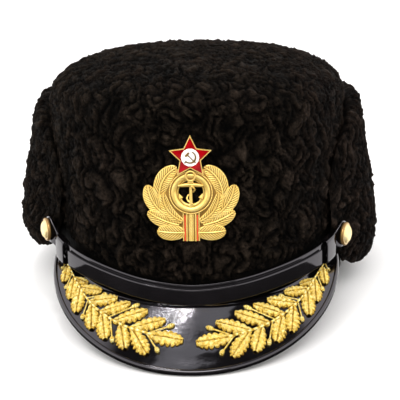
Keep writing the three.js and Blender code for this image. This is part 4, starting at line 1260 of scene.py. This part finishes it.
# Lamps: name, place, size, power and colour
LAMPS = [
    ("ceiling", (-0.055, -0.05, 1.3), (0.2, 0.75), 0.7, (0.95, 0.97, 1)),
    ("bulb", (-0.17, 0.02, 1.28), (0.04, 0.14), 2, (1, 1, 1)),
    ("key", (-0.12, -0.95, 1.15), (0.9, 0.5), 9.5, (1, 0.98, 0.95)),
]
LAMP_AIM = (0, 0, 0.06)


def studio_light():
    """White walls round the table up to a height, and a darker ceiling."""
    world = bpy.data.worlds.new("studio")
    bpy.context.scene.world = world
    world.use_nodes = True
    tree = world.node_tree
    seen = add_node(tree, "TexCoord", "Generated", {})
    inputs = {0: seen, 1: CEILING_AXIS}
    height = add_node(tree, "VectorMath", "Value", inputs, operation="DOT_PRODUCT")
    inputs = {"Color": ramp_node(tree, height, WALLS), "Strength": WALL_STRENGTH}
    set_inputs(tree, tree.nodes["Background"], inputs)
    for name, place, size, power, tint in LAMPS:
        data = bpy.data.lights.new(name, "AREA")
        data.shape = "RECTANGLE"
        data.size, data.size_y = size
        data.energy = power
        data.color = tint
        lamp = add_object(name, data)
        lamp.location = place
        aim = Vector(LAMP_AIM) - Vector(place)
        lamp.rotation_mode = "QUATERNION"
        lamp.rotation_quaternion = aim.to_track_quat("-Z", "Y")


def sheet(name, corners, roughness, grain, dark, light):
    """A flat sheet of the stage, with its own plain material."""
    mesh = bpy.data.meshes.new(name)
    mesh.from_pydata(corners, [], [range(len(corners))])
    material, tree, principled = shader(name, Roughness=roughness)
    color = ramp_node(tree, noise_node(tree, grain), [(0.3, dark), (0.7, light)])
    connect(tree, principled, Base_Color=color)
    mesh.materials.append(material)
    return add_object(name, mesh)


def floor():
    half = FLOOR_HALF
    corners = [(-half, -half, 0), (half, -half, 0), (half, half, 0), (-half, half, 0)]
    made = sheet("floor", corners, 0.7, 3, grey(0.93), grey(0.95))


FLOOR_HALF = 6

# Corners of the black cards: one lies on the table, one stands before it
CARDS = {
    "black_card_low": [
        (-0.28, -0.62, 0.001), (0.28, -0.62, 0.001), (0.28, -0.16, 0.001), (0.13, -0.03, 0.001),
        (-0.13, -0.03, 0.001), (-0.28, -0.16, 0.001),
    ],
    "black_card_high": [
        (-0.42, -0.98, 0.02), (0.42, -0.98, 0.02), (0.42, -0.98, 0.36), (-0.42, -0.98, 0.36),
    ],
}


def black_card(name, corners):
    """A black card that only reflections see. It keeps the strap and the edge dark."""
    made = sheet(name, corners, 0.9, 40, (0.01, 0.009, 0.009), (0.014, 0.012, 0.012))
    made.visible_camera = False
    made.visible_diffuse = False
    made.visible_shadow = False


def camera():
    e, a, r = (math.radians(v) for v in (CAMERA_ELEVATION, CAMERA_AZIMUTH, CAMERA_ROLL))
    back = Vector((math.sin(a) * math.cos(e), -math.cos(a) * math.cos(e), math.sin(e)))
    right = Vector((math.cos(a), math.sin(a), 0))
    up = back.cross(right)
    right, up = math.cos(r) * right + math.sin(r) * up, -math.sin(r) * right + math.cos(r) * up
    data = bpy.data.cameras.new("camera")
    data.lens = CAMERA_LENS
    data.clip_start = 0.01
    made = add_object("camera", data)
    turn = Matrix((right, up, back)).transposed().to_4x4()
    made.matrix_world = Matrix.Translation(Vector(CAMERA_TARGET) + back * CAMERA_DISTANCE) @ turn
    bpy.context.scene.camera = made


camera()
floor()
for card_name, card_corners in CARDS.items():
    black_card(card_name, card_corners)
studio_light()
bpy.context.scene.view_settings.view_transform = "Standard"

karakul = fur_material()
patent = patent_material()
gilt = gilt_material("gilt_metal", (0.9, 0.6, 0.13), (1.0, 0.74, 0.23), (1.0, 0.84, 0.36))
# The buttons' gilt is a lighter copy of the badge's gilt, with painted highlight for their polished
# domes.
lit_gilt = gilt_material("lit_gilt", (0.92, 0.68, 0.28), (0.98, 0.8, 0.42), (1.0, 0.9, 0.6))
thread = thread_material()

crown_fur(karakul, "crown_fur_front", 0, math.pi, 270, 370)
crown_fur(karakul, "crown_fur_back", math.pi, 2 * math.pi, 180, 300)
crown_lining(lining_material())
flap_fur(karakul, 150, 620)
peak_piece(patent)
edge_piece(patent)
inner_strap(patent)
outer_strap(patent)
keeper(patent, "keeper_left", -1)
keeper(patent, "keeper_right", 1)
for side_name, strap_end in STRAP_ENDS.items():
    button(lit_gilt, "button_" + side_name, strap_end)
for spray_name, spray in SPRAY_SIDES.items():
    spray_piece(thread, spray_name, *spray)
badge_piece(gilt)

NODE_MATERIALS = {
    "badge_star": gilt,
    "star_enamel": enamel_material("red_enamel", (0.16, 0.0005, 0.002), (0.34, 0.001, 0.004), 0.06),
    "star_roundel": enamel_material("white_enamel", (0.8, 0.78, 0.74), (0.9, 0.88, 0.84)),
    "star_emblem": enamel_material("dark_gilt", (0.09, 0.05, 0.015), (0.2, 0.11, 0.03), 0.35),
}
stripe = enamel_material("stripe_enamel", (0.5, 0.05, 0.015), (0.7, 0.1, 0.03), 0.2)
NODE_MATERIALS["stripe_left"] = NODE_MATERIALS["stripe_right"] = stripe
for node, finish in NODE_MATERIALS.items():
    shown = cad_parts[node]
    shown.data.materials.clear()
    shown.data.materials.append(finish)
